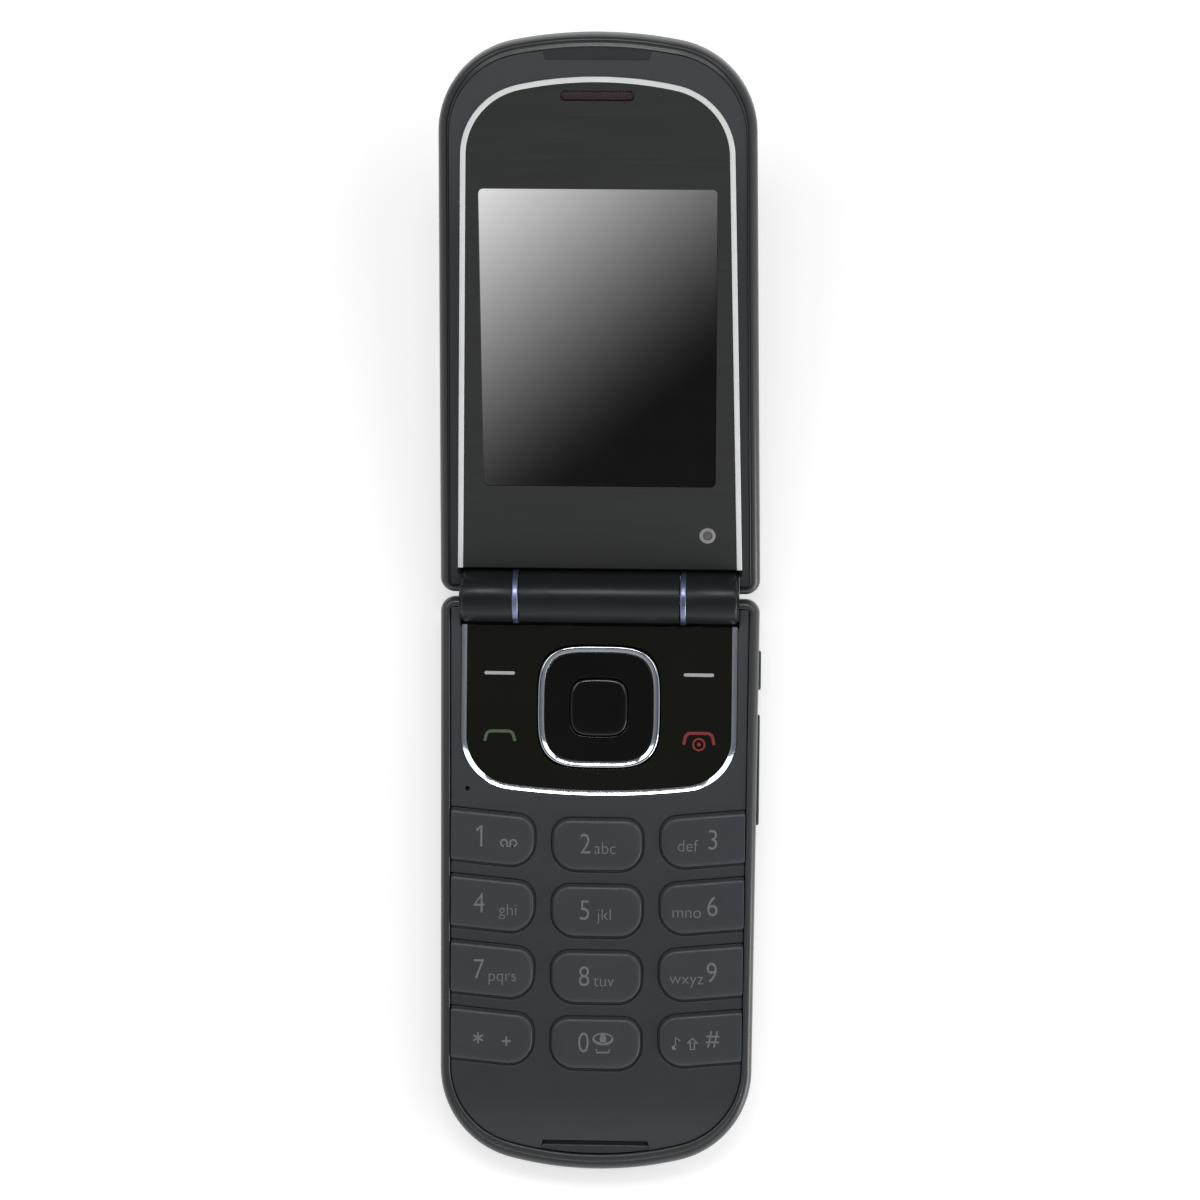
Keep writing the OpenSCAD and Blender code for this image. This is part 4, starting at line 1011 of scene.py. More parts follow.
def make_rear_cover():
    """Rear cover of the base with its battery bay, door recess, screw wells and side openings."""
    notch, bar = barrel_room(CAVITY_Z)
    door = rounded_box(-DOOR_HALF - SEAM, DOOR_HALF + SEAM, DOOR_Y - SEAM, DOOR_END, DOOR_R)
    wide = solid(
        notch,
        (add_plate, [door], -BASE_T - OVER, DOOR_Z + SEAM),
        (add_block, -POCKET_HALF, POCKET_HALF, POCKET_Y, POCKET_END, POCKET_FLOOR, CAVITY_Z + OVER))
    bay = rounded_box(-BAY_HALF, BAY_HALF, BAY_Y, BAY_END, BAY_R)
    deep = solid(
        bar,
        (add_plate, [bay], -BASE_T - OVER, BAY_TOP),
        side_slot(1, ROCKER_Y, ROCKER_L),
        side_slot(1, SHUTTER_Y, SHUTTER_L),
        side_slot(-1, SOCKET_Y, SOCKET_L),
        *[(add_post, spot, SCREW_WELL_R, -BASE_T - OVER, SCREW_SEAT) for spot in SCREW_SPOTS],
        *[(add_plate, [rounded_box(x - GRILLE_W / 2, x + GRILLE_W / 2, GRILLE_Y, GRILLE_END, GRILLE_R)],
           -BASE_T - OVER, POCKET_FLOOR + OVER) for x in GRILLE_SLOTS])
    fine = solid(
        *[(add_post, spot, SCREW_R + SEAM, SCREW_SEAT - OVER, CAVITY_Z + OVER) for spot in SCREW_SPOTS],
        *[(add_block, x - CONTACT_HALF, x + CONTACT_HALF, CONTACT_Y, BAY_Y + OVER, CONTACT_Z, CONTACT_TOP)
          for x in CONTACT_SPOTS])
    ridge = solid((add_plate, [tab_ridge()], CAVITY_Z - TAB_SINK, -COVER_DROP, TAB_EDGE))
    ledge = solid((add_plate, [tab_ridge(TAB_GAP - LEDGE_GAP)], CAVITY_Z - TAB_SINK,
                   -COVER_DROP - LEDGE_DROP))
    shell = solid((add_loft, shell_levels(base_outline, BASE_T, RIM_END, BASE_BEAD, CAVITY_Z)))
    mesh = shaped(shell, ("DIFFERENCE", wide), ("DIFFERENCE", deep), ("DIFFERENCE", fine),
                  ("UNION", ledge), ("UNION", ridge))
    piece("rear_cover_shell", mesh, RIM_PLASTIC, "base", ["base_rear_cover"])


def make_battery_cover():
    """Battery cover: the slice of the base's round back that fits the door recess."""
    door = rounded_box(-DOOR_HALF, DOOR_HALF, DOOR_Y, DOOR_END, DOOR_R)
    mesh = shaped(solid((add_loft, solid_levels(base_outline, BASE_T))),
                  ("INTERSECT", solid((add_plate, [door], -BASE_T - OVER, DOOR_Z))))
    piece("battery_door", mesh, RIM_PLASTIC, "battery_cover", ["battery_cover"])


def make_lid_outer_cover():
    """Outer cover of the lid with the recesses of its window and camera."""
    notch, bar = barrel_room(LID_FLOOR)
    recess = rounded_box(-WINDOW_HALF, WINDOW_HALF, WINDOW_Y, WINDOW_END, WINDOW_R)
    opening = rounded_box(WINDOW_LIP_X - WINDOW_HALF, WINDOW_HALF - WINDOW_LIP_X,
                          WINDOW_Y + WINDOW_LIP_Y, WINDOW_END - WINDOW_LIP_Y, WINDOW_OPENING_R)
    back = -LID_T - OVER
    wide = solid(
        notch,
        (add_plate, [recess], back, WINDOW_T - LID_T),
        (add_post, CAMERA_SPOT, CAMERA_RING_R + SEAM, back, WINDOW_T - LID_T, 96))
    deep = solid(
        bar,
        (add_plate, [opening], back, LID_FLOOR + OVER),
        (add_post, CAMERA_SPOT, CAMERA_GLASS_R + CAMERA_ROOM, back, LID_FLOOR + OVER, 96))
    bosses = solid(*[(add_post, spot, BOSS_R, LID_FLOOR - BOSS_SINK, FLANGE_Z) for spot in LID_SCREW_SPOTS])
    shell = solid((add_loft, shell_levels(lid_outline, LID_T, LID_RIM_END, LID_BEAD, LID_FLOOR)))
    mesh = shaped(shell, ("DIFFERENCE", wide), ("DIFFERENCE", deep), ("UNION", bosses))
    piece("lid_outer_shell", mesh, LID_PLASTIC, "lid", ["lid_outer_cover"])
    tab = finger_tab(LID_REACH - LID_RIM_END, -LID_TAB_IN)
    mesh = solid((add_plate, [tab], LID_FLOOR, -COVER_DROP - LID_TAB_DROP, LID_TAB_EDGE))
    piece("lid_finger_tab", mesh, SIDE_KEY_PLASTIC, "lid")


# Inner covers

def end_with_tab(sizes, tab):
    """Right side of an inner cover up to its middle, with the cut for the finger tab."""
    (low_x, low_y), (top_x, top_y) = tab[:2]
    side = leaf_side(*sizes)
    slope = (low_x - top_x) / (low_y - top_y)
    outside = [(x, y) for x, y in side if x > top_x + slope * (y - top_y)]
    end_r, end_y = sizes[4], sizes[2] - sizes[4]
    x = outside[-1][0]
    for _ in range(8):
        y = end_y + sqrt(end_r ** 2 - x ** 2)
        x = top_x + slope * (y - top_y)
    return [(*p, 0) for p in outside] + [(x, y, 0), (top_x, top_y, 0)]


def on_side_line(sizes, a, b):
    """Where the line from a to b meets the straight side of an inner cover."""
    top = (sizes[0], sizes[-1])
    corner = leaf_side(*sizes)[0]
    lean = (corner[0] - top[0]) / (corner[1] - top[1])
    x = b[0]
    for _ in range(6):
        y = a[1] + (b[1] - a[1]) * (x - a[0]) / (b[0] - a[0])
        x = top[0] + lean * (y - top[1])
    return x, y


def hinge_corners(sizes):
    """Corners of an inner cover beside the right ear."""
    start = sizes[-1]
    return [(NOTCH_HALF, NOTCH_Y, 0), (NOTCH_HALF, start, NOTCH_R), (sizes[0], start, SHOULDER_R)]


def with_left(right):
    """Right half of a cover's corners and their mirror image."""
    return right + [(-x, y, r) for x, y, r in reversed(right)]


def front_cover_corners():
    """Right half of the front cover's outline, from the hinge to the middle of the far end."""
    sizes = body_sizes(BASE_SHAPE, RIM_SIDE + SEAM, RIM_END + SEAM)
    corners = hinge_corners(sizes)
    for row in range(4):
        near_in, near_out, far_out, far_in = side_key_corners(row, KEY_GAP, RIM_SIDE)
        corners += [(*on_side_line(sizes, near_in, near_out), KEY_MOUTH_R), (*near_in, KEY_R + KEY_GAP),
                    (*far_in, KEY_LOW_R + KEY_GAP), (*on_side_line(sizes, far_in, far_out), KEY_MOUTH_R)]
    tab = finger_tab(BASE_REACH - RIM_END + TAB_LAP, SEAM, TAB_GAP)
    return corners + end_with_tab(sizes, tab)


def make_front_cover():
    """Front cover with the bow's pocket, key openings, room for the finger tab and microphone hole."""
    pocket = [(x, y, 0) for x, y in open_bow(bow_sizes(-POCKET_GAP, NOTCH_Y + BOW_LEDGE))]
    outline = filleted(with_left(front_cover_corners()) + pocket)
    middle_keys = [key_outline(i, KEY_GAP)[::-1] for i in (1, 4, 7, 10)]
    loops = [outline] + middle_keys + [circle(MIC_SPOT, MIC_R)[::-1]]
    mesh = solid((add_plate, loops, COVER_Z, -COVER_DROP, COVER_EDGE))
    piece("front_cover_plate", mesh, FACE_PLASTIC, "base", ["base_front_cover"])


def video_box(room):
    """Sides of the small camera's box, with room round it."""
    x, y = VIDEO_SPOT
    return x - VIDEO_LEFT - room, x + VIDEO_RIGHT + room, y - VIDEO_NEAR - room, y + VIDEO_FAR + room


def make_lid_inner_cover():
    """Inner cover of the lid: a frame round the display panel with its floor and screw holes."""
    sizes = body_sizes(LID_SHAPE, RIM_SIDE + FINE_SEAM, LID_RIM_END + SEAM)
    tab = finger_tab(LID_REACH - LID_RIM_END, FINE_SEAM - LID_TAB_IN, FINE_SEAM)
    outline = filleted(with_left(hinge_corners(sizes) + end_with_tab(sizes, tab)))
    plate = solid((add_plate, [outline], FLANGE_Z, -COVER_DROP, LID_COVER_EDGE))
    pocket = leaf_outline(*trim_sizes(-POCKET_GAP, NOTCH_Y - OVER), 0.3)
    room = rounded_box(-DISPLAY_HALF - DISPLAY_ROOM, DISPLAY_HALF + DISPLAY_ROOM,
                       DISPLAY_Y - DISPLAY_NEAR_ROOM, DISPLAY_END + DISPLAY_FAR_ROOM, DISPLAY_R)
    through = solid(
        (add_plate, [room], FLANGE_Z - OVER, OVER),
        (add_block, *video_box(VIDEO_ROOM), FLANGE_Z - OVER, OVER),
        *[(add_post, spot, SCREW_R + SEAM, FLANGE_Z - OVER, 0) for spot in LID_SCREW_SPOTS])
    pocket_mesh = solid((add_plate, [pocket], PANEL_Z, OVER))
    mesh = shaped(plate, ("DIFFERENCE", pocket_mesh), ("DIFFERENCE", through))
    piece("lid_inner_frame", mesh, LID_FACE, "lid", ["lid_inner_cover"])


# Function keys, navigation key and bow

def strip_mesh(line, closed, low, high, width, fall, inner_edge, outer_edge, finish):
    """Strip along a flat line, between two heights."""
    path = path_mesh(line, (low + high) / 2, closed)
    return SWEPT_STRIP.grown(path, Width=width, Height=high - low, Fall=fall, Inner_edge=inner_edge,
                             Outer_edge=outer_edge, Finish=finish)


def make_bow_and_silver_line():
    """The two open strips: the bow round the function keys and the line round the display panel."""
    line = open_bow(bow_sizes(BOW_W / 2, NOTCH_Y))[::-1]
    mesh = strip_mesh(line, False, COVER_Z, BOW_TOP, BOW_W, 0.27, 0.03, 0.03, BRIGHT_PLATING)
    piece("bright_bow_strip", mesh, None, "base", ["bright_bow"])
    line = open_bow(trim_sizes(TRIM_W / 2, NOTCH_Y + SEAM))
    mesh = strip_mesh(line, False, PANEL_Z, TRIM_PROUD - PANEL_DROP, TRIM_W, 0.0, 0.12, 0.12, SILVER_PAINT)
    piece("silver_line_strip", mesh, None, "lid", ["display_trim"])


def make_nav_key():
    """Navigation key: bright rim and black pad."""
    line = squircle(NAV_HALF - NAV_RIM_W / 2, NAV_Y)
    mesh = strip_mesh(line, True, PLATE_BOTTOM, KEY_TOP, NAV_RIM_W, 0.33, 0.05, 0.3, BRIGHT_PLATING)
    piece("nav_rim_strip", mesh, None, "nav_key", ["nav_rim"])
    outside = squircle(NAV_HALF - NAV_RIM_W - FINE_SEAM, NAV_Y)
    inside = squircle(SELECT_HALF + SELECT_GAP, SELECT_Y)[::-1]
    mesh = solid((add_plate, [outside, inside], PLATE_BOTTOM, FUNCTION_TOP, NAV_PAD_EDGE))
    piece("nav_pad_plate", mesh, NAV_BLACK, "nav_key", ["nav_pad"])


# Insets and drops of the select key's round edge
SELECT_STEPS = [(0, 0.36), (0.04, 0.24), (0.11, 0.15), (0.2, 0.085), (0.31, 0.04), (0.45, 0.015), (1.4, 0)]


def make_select_key():
    """Select key: low cushion with a round edge."""
    levels = [(squircle(SELECT_HALF, SELECT_Y), PLATE_BOTTOM)]
    levels += [(squircle(SELECT_HALF - inset, SELECT_Y), SELECT_TOP - drop) for inset, drop in SELECT_STEPS]
    mesh = solid((add_loft, levels))
    piece("select_key_cap", mesh, NAV_BLACK, "select_key", ["select_key"])


def function_plate_outline():
    """Right function key: the bow's inside, cut by the middle line and the navigation key."""
    sizes = bow_sizes(BOW_W + BOW_SEAM, NOTCH_Y + SEAM)
    side = [(sizes[0], sizes[-1])] + [(x, y) for x, y in leaf_side(*sizes) if x > FUNCTION_GAP]
    end_y = sizes[2] - sizes[4] + sqrt(sizes[4] ** 2 - FUNCTION_GAP ** 2)
    nav = [(x, y) for x, y in squircle(NAV_HALF + NAV_GAP, NAV_Y) if x > FUNCTION_GAP]
    round_nav = sorted(nav, key=lambda p: atan2(p[1] - NAV_Y, p[0]), reverse=True)
    swell = NAV_HALF + NAV_GAP
    return (side + [(FUNCTION_GAP, end_y), (FUNCTION_GAP, NAV_Y + swell)] + round_nav
            + [(FUNCTION_GAP, NAV_Y - swell), (FUNCTION_GAP, sizes[-1])])


def make_function_keys():
    right = function_plate_outline()
    for name, outline in (("left", mirrored(right)), ("right", right)):
        mesh = solid((add_plate, [outline], PLATE_BOTTOM, FUNCTION_TOP, FUNCTION_EDGE))
        body = "function_key_" + name
        piece("function_plate_" + name, mesh, FUNCTION_BLACK, body, [body])


# Number keys and side keys

# Insets and drops of a number key's round edge
KEY_STEPS = [(0, 0.36), (0.05, 0.24), (0.12, 0.165), (0.22, 0.105), (0.34, 0.06), (0.48, 0.028),
             (0.65, 0.01), (0.85, 0.002), (1.2, 0), (1.6, 0), (2.1, 0)]
SKIRT_GROW = 0.24
SKIRT_TOP = -0.85
KEY_RIM_SHARE = 0.1
KEY_FAR_DROP = 0.22
KEY_SLOPE_POWER = 5
KEY_CROWN_H = 0.4
FLANGE_GROW = 0.65
FLANGE_T = 0.33


def key_levels(i):
    """Outlines of a number key from its flange to its crown."""
    skirt = key_outline(i, SKIRT_GROW)
    levels = [(skirt, FLANGE_Z), (skirt, SKIRT_TOP), (key_outline(i, 0), SKIRT_TOP)]
    for inset, drop in KEY_STEPS:
        levels.append((key_outline(i, -inset, -inset * KEY_RIM_SHARE), KEY_TOP - drop))
    return levels


def add_number_key(bm, i):
    """A number key that slopes down a little along its far edge, and its flange under the cover."""
    add_loft(bm, key_levels(i))
    flange = key_outline(i, FLANGE_GROW, -POCKET_GAP)
    add_plate(bm, [flange], FLANGE_Z - FLANGE_T, FLANGE_Z - FINE_SEAM)
    column = i % 3 - 1
    for v in bm.verts:
        if v.co.z > KEY_TOP - KEY_CROWN_H:
            middle = ROW_Y + i // 3 * ROW_PITCH - (row_rise(v.co.x) if column else 0)
            share = max(0.0, (v.co.y - middle) / (KEY_H / 2))
            v.co.z -= KEY_FAR_DROP * share ** KEY_SLOPE_POWER


def make_number_keys():
    for i, name in enumerate(KEY_NAMES):
        mesh = solid((add_number_key, i))
        piece(name + "_cap", mesh, KEY_PLASTIC, name, [name])


FACE_RIGHT = Matrix.Rotation(radians(90), 4, "Y")


def make_side_key(name, y, length, body):
    """A key in the right wall: a cap with round edges, and its flange behind the wall."""
    back = cover_side_x(y + length / 2) - SIDE_BACK
    face = HALF_W - BASE_TAPER / 2 * y / BASE_REACH + SIDE_PROUD
    outline = rounded_box(-SIDE_KEY_H / 2, SIDE_KEY_H / 2, -length / 2, length / 2, SIDE_KEY_R)
    cap_mesh = solid((add_plate, [outline], back - SEAM, face, SIDE_EDGE))
    cap_mesh.transform(Matrix.Translation((0, y, SIDE_KEY_Z)) @ FACE_RIGHT)
    reach = length / 2 + SIDE_FLANGE
    flange = solid((add_block, back - SIDE_FLANGE, back, y - reach, y + reach,
                    CAVITY_Z + SEAM, SIDE_FLANGE_TOP))
    mesh = shaped(cap_mesh, ("UNION", flange))
    piece(name, mesh, SIDE_KEY_PLASTIC, body, [body])


# Barrel

# Rounding of a barrel end, as distances from its face and insets, and its bores by side
END_CROWN = [(0.5, 0), (0.3, 0.04), (0.12, 0.14), (0.03, 0.28), (0, 0.4)]
END_BORES = [(1, 1.65, 5.6), (-1, BARREL_BORE_R, 5.2)]
NECK_GAP = 0.02
NECK_START = 0.01
BARREL_EDGE = 0.12
FOOT_IN = 0.5
FOOT_Y = 1.5
BASE_FOOT_OUT, BASE_FOOT_END, BASE_FOOT_TOP, BASE_FOOT_LAP = 0.8, 8.3, -2.3, 0.6
LID_FOOT_END, LID_FOOT_Z, LID_FOOT_TOP = 8.2, -3.1, -1.8
LEG_W, LEG_Y, LEG_TOP = 3.0, 4.6, -3.0
CABLE_SLOT = (-3.7, 1.1, 0, 9.2, -2.4, -1.6)


def make_barrel_ends():
    """Barrel ends on the base, each with a dark neck that fills the gap to its ear."""
    length = BARREL_HALF - BASE_BARREL_X
    neck = NOTCH_HALF - BASE_BARREL_X - NECK_GAP
    ends = []
    for side, bore, depth in END_BORES:
        profile = [(0, bore), (0, BARREL_R - 0.1), (0.03, BARREL_R - 0.03), (0.1, BARREL_R)]
        profile += [(length - back, BARREL_R - inset) for back, inset in END_CROWN]
        profile += [(neck, profile[-1][1]), (neck, 0), (depth, 0), (depth, bore)]
        ends.append((add_turned, [(side * (BASE_BARREL_X + h), r) for h, r in profile], "x"))
    feet = solid(*both_sides(BASE_BARREL_X + FOOT_IN, BARREL_HALF - BASE_FOOT_OUT, FOOT_Y, BASE_FOOT_END,
                             CAVITY_Z, BASE_FOOT_TOP))
    bar = solid((add_bar, BARREL_R - BASE_FOOT_LAP, -HALF_W, HALF_W))
    mesh = shaped(solid(*ends), ("UNION", shaped(feet, ("DIFFERENCE", bar))))
    made = piece("barrel_ends", mesh, BARREL_LACQUER, "base", ["base_barrels"])
    made.data.materials.append(DOME_FILM)
    for face in made.data.polygons:
        if abs(face.center.x) > (BARREL_HALF + NECK_START) * MM:
            face.material_index = 1


def make_barrel_middle():
    """Middle of the barrel on the lid, with its foot and the slot for the printed cable."""
    edge = [(MID_HALF - drop, BARREL_R - inset) for inset, drop in round_edge(BARREL_EDGE)]
    outside = [(-x, r) for x, r in reversed(edge)] + edge
    tube = outside + [(MID_HALF, BARREL_BORE_R), (-MID_HALF, BARREL_BORE_R)]
    half = MID_HALF - FOOT_IN
    foot = solid((add_block, -half, half, FOOT_Y, LID_FOOT_END, LID_FOOT_Z, LID_FOOT_TOP))
    legs = solid(*both_sides(half - LEG_W, half, LEG_Y, LID_FOOT_END, LID_FLOOR, LEG_TOP))
    bore = solid((add_bar, BARREL_BORE_R, -MID_HALF - OVER, MID_HALF + OVER))
    foot = shaped(foot, ("UNION", legs), ("DIFFERENCE", bore))
    slot = solid((add_block, *CABLE_SLOT))
    mesh = shaped(solid((add_turned, tube, "x")), ("UNION", foot), ("DIFFERENCE", slot))
    piece("barrel_middle", mesh, BARREL_LACQUER, "lid", ["lid_barrel"])


def make_barrel_rings():
    """Bright rings between the barrel's middle and its ends."""
    inner, outer = BARREL_BORE_R + POCKET_GAP, BARREL_R + RING_PROUD
    middles = spots_mesh([(side * (RING_X + RING_W / 2), 0) for side in (-1, 1)], 0)
    mesh = BARREL_RING.grown(middles, Middle=(inner + outer) / 2, Width=RING_W, Thickness=outer - inner,
                             Edge=0.2, Finish=RING_PLATING)
    piece("barrel_rings", mesh, None, "base", ["hinge_rings"])


# Display side

def make_display_panel():
    """Brushed panel with the openings of the display, earpiece and small camera."""
    sizes = trim_sizes(TRIM_W + POCKET_GAP, NOTCH_Y + SEAM)
    right = [(sizes[0], sizes[-1])] + leaf_side(*sizes)
    display = rounded_box(-DISPLAY_HALF, DISPLAY_HALF, DISPLAY_Y, DISPLAY_END, DISPLAY_R)
    ear_slot = rounded_box(-EAR_SLOT_HALF, EAR_SLOT_HALF, EAR_SLOT_Y - EAR_SLOT_H / 2,
                           EAR_SLOT_Y + EAR_SLOT_H / 2, EAR_SLOT_R)
    camera = circle(VIDEO_SPOT, VIDEO_R + POCKET_GAP)
    loops = [right + mirrored(right), display[::-1], ear_slot[::-1], camera[::-1]]
    mesh = solid((add_plate, loops, PANEL_Z, -PANEL_DROP, PANEL_EDGE))
    piece("panel_sheet", mesh, PANEL_METAL, "lid", ["display_panel"])


def make_display_window():
    """Display window with the display behind it, and a painted sheen that glows in its material, mapped
    across its face.
    """
    x, y0, y1 = DISPLAY_HALF - POCKET_GAP, DISPLAY_Y + POCKET_GAP, DISPLAY_END - POCKET_GAP
    outline = rounded_box(-x, x, y0, y1, DISPLAY_R - POCKET_GAP)
    mesh = solid((add_plate, [outline], PANEL_Z, LENS_TOP, LENS_EDGE))
    across = mesh.uv_layers.new(name="screen")
    for loop in mesh.loops:
        spot = mesh.vertices[loop.vertex_index].co
        across.data[loop.index].uv = ((spot.x + x) / (2 * x), (spot.y - y0) / (y1 - y0))
    piece("display_window", mesh, DISPLAY, "lid", ["display_lens"])


def make_earpiece_cloth():
    """Woven wire behind the earpiece slot."""
    pitch = 0.25
    half_x, half_y = EAR_SLOT_HALF - 0.1, EAR_SLOT_H / 2 - 0.1
    wire = 0.05
    level = EAR_MESH_TOP - 2 * wire
    across = [(0, EAR_SLOT_Y + pitch * (i - 2)) for i in range(5)]
    count = int(2 * (half_x - 0.35) / pitch)
    along = [(pitch * (i - (count - 1) / 2), EAR_SLOT_Y) for i in range(count)]
    sheets = []
    layers = (across, 2 * half_x - 0.5, 0.0, 0.0), (along, 2 * half_y - 0.05, pi / 2, pi)
    for spots, length, turn, phase in layers:
        sheets.append(WIRE_LAYER.grown(spots_mesh(spots, level), Length=length, Pitch=pitch, Wave=wire,
                                       Wire=wire * 0.9, Turn=turn, Phase=phase, Finish=WIRE_CLOTH))
    bm = bmesh.new()
    for sheet in sheets:
        bm.from_mesh(sheet)
    slot = rounded_box(-half_x, half_x, EAR_SLOT_Y - half_y, EAR_SLOT_Y + half_y, EAR_SLOT_R - 0.1)
    add_plate(bm, [slot], PANEL_Z, level - 3 * wire)
    mesh = as_mesh(bm, "earpiece_cloth")
    piece("earpiece_cloth", mesh, WIRE_CLOTH, "lid", ["earpiece_mesh"])


def make_small_camera():
    """Small camera beside the hinge: bright ring, and a lens that stands in it."""
    inner = VIDEO_R - VIDEO_RING_W
    top = -PANEL_DROP + 0.04
    profile = [(PANEL_Z, inner), (PANEL_Z, VIDEO_R), (top - 0.1, VIDEO_R), (top - 0.03, VIDEO_R - 0.03),
               (top, VIDEO_R - 0.12), (top, inner + 0.06), (top - 0.06, inner)]
    mesh = solid((add_turned, profile, "z", VIDEO_SPOT))
    piece("small_camera_ring", mesh, SMALL_RING, "lid", ["video_camera_ring"])
    r, lens_top = inner - POCKET_GAP, -PANEL_DROP - 0.02
    dome = [(PANEL_Z - 0.5, 0), (PANEL_Z - 0.5, r), (lens_top - 0.12, r), (lens_top - 0.05, r * 0.75),
            (lens_top - 0.01, r * 0.35), (lens_top, 0)]
    box = solid((add_block, *video_box(0), VIDEO_FLOOR, PANEL_Z))
    mesh = shaped(box, ("UNION", solid((add_turned, dome, "z", VIDEO_SPOT))))
    piece("small_camera_lens", mesh, SMALL_LENS, "lid", ["video_camera"])


def make_outside_of_lid():
    """Outer window, and the camera's ring and glass."""
    gap = POCKET_GAP
    window = rounded_box(gap - WINDOW_HALF, WINDOW_HALF - gap, WINDOW_Y + gap, WINDOW_END - gap,
                         WINDOW_R - gap)
    mesh = solid((add_plate, [window], -LID_T, WINDOW_T - LID_T, WINDOW_EDGE, True))
    piece("outer_window_pane", mesh, WINDOW_BLACK, "lid", ["outer_window"])
    back, face = WINDOW_T - LID_T, -LID_T - CAMERA_PROUD
    outer, inner = CAMERA_RING_R, CAMERA_GLASS_R
    profile = [(back, inner), (back, outer), (-LID_T, outer)]
    profile += [(face + drop, outer - inset) for inset, drop in round_edge(0.15)]
    profile += [(face, outer - 0.7), (face + 0.25, inner)]
    mesh = solid((add_turned, profile, "z", CAMERA_SPOT))
    piece("camera_bezel", mesh, RING_PLATING, "lid", ["camera_ring"])
    r = inner - gap
    glass = -LID_T + 0.1
    profile = [(back, 0), (back, r), (glass, r), (glass, 2.3), (glass + 0.25, 2.1), (glass + 0.25, 1.6),
               (glass + 0.08, 1.45), (glass - 0.02, 0.9), (glass - 0.06, 0.4), (glass - 0.07, 0)]
    mesh = solid((add_turned, profile, "z", CAMERA_SPOT))
    piece("camera_lens", mesh, LENS_BLACK, "lid", ["camera_glass"])


def make_screws():
    """Screws of the base, seen under the battery cover, and those under the display panel."""
    shared = dict(Thread_radius=SCREW_R, Slot_width=0.26, Slot_depth=0.3, Finish=STEEL)
    heads = spots_mesh(SCREW_SPOTS, SCREW_SEAT - 0.8)
    mesh = SCREW.grown(heads, Head_radius=SCREW_HEAD_R, Head_height=0.8, Thread_length=3.0, Slot_length=1.5,
                       Face=pi, **shared)
    piece("base_screw_set", mesh, None, "base", ["base_screws"])
    heads = spots_mesh(LID_SCREW_SPOTS, PANEL_Z - SEAM)
    mesh = SCREW.grown(heads, Head_radius=0.95, Head_height=0.15, Thread_length=2.6, Slot_length=1.1,
                       Face=0.0, **{**shared, "Slot_depth": 0.08})
    piece("lid_screw_set", mesh, None, "lid", ["lid_screws"])


# Print

PRINT_T = 0.012
DIGIT_SIZE = 4.4
HASH_SIZE = 3.6
LETTER_SIZE = 2.6
DIGIT_WIDTH = 0.85
LETTER_WIDTH = 0.97
BASELINE = 1.3
LETTERS = "abc def ghi jkl mno pqrs tuv wxyz".split()
LEGENDS = {"key_%d" % figure: (str(figure), letters) for figure, letters in enumerate(LETTERS, 2)}
LEGENDS["key_0"] = ("0", "")
DIGIT_X = (-17.9, -1.85, 17.5)
LETTER_X = (-13.5, 1.15, 13.6)
WORDS_THIN = 0.035
LETTERS_IN = {"key_7": -0.8, "key_9": 0.1}


def add_words(bm, words, x, y, z, size, width, thin):
    """Lettering on the base, centred on x with its baseline at y."""
    curve = bpy.data.curves.new("words", "FONT")
    curve.body = words
    curve.size = size
    curve.offset = -thin
    curve.extrude = PRINT_T
    curve.align_x = "CENTER"
    made = placed("helper", curve)
    mesh = evaluated_mesh(made)
    bpy.data.objects.remove(made)
    mesh.transform(Matrix.Translation((x, -y, z)) @ Matrix.Diagonal((width, 1, 1, 1)))
    bm.from_mesh(mesh)


def stroke_outline(points, width):
    """Outline of a line with square ends."""
    left, right = [], []
    for i, p in enumerate(points):
        before = Vector(points[max(0, i - 1)])
        after = Vector(points[min(len(points) - 1, i + 1)])
        along = (after - before).normalized()
        side = Vector((-along.y, along.x)) * width / 2
        left.append((p[0] + side.x, p[1] + side.y))
        right.append((p[0] - side.x, p[1] - side.y))
    return right + left[::-1]


def star(middle, arms, reach, half_w):
    """Outline of a star with straight arms."""
    points = []
    between = pi / arms
    for k in range(arms):
        a = pi / 2 + 2 * between * k
        tip, side = Vector((cos(a), sin(a))) * reach, Vector((-sin(a), cos(a))) * half_w
        nook = Vector((cos(a + between), sin(a + between))) * half_w / sin(between)
        points += [tip - side, tip + side, nook]
    return [(middle[0] + p.x, middle[1] + p.y) for p in points]


def add_mark(bm, loops, z):
    """Thin print from leaf outlines on the base."""
    add_plate(bm, [[(x, -y) for x, y in loop] for loop in loops], z - PRINT_T, z + PRINT_T)


def key_baseline(i, x):
    return ROW_Y + i // 3 * ROW_PITCH - (row_rise(x) if i % 3 != 1 else 0) + BASELINE


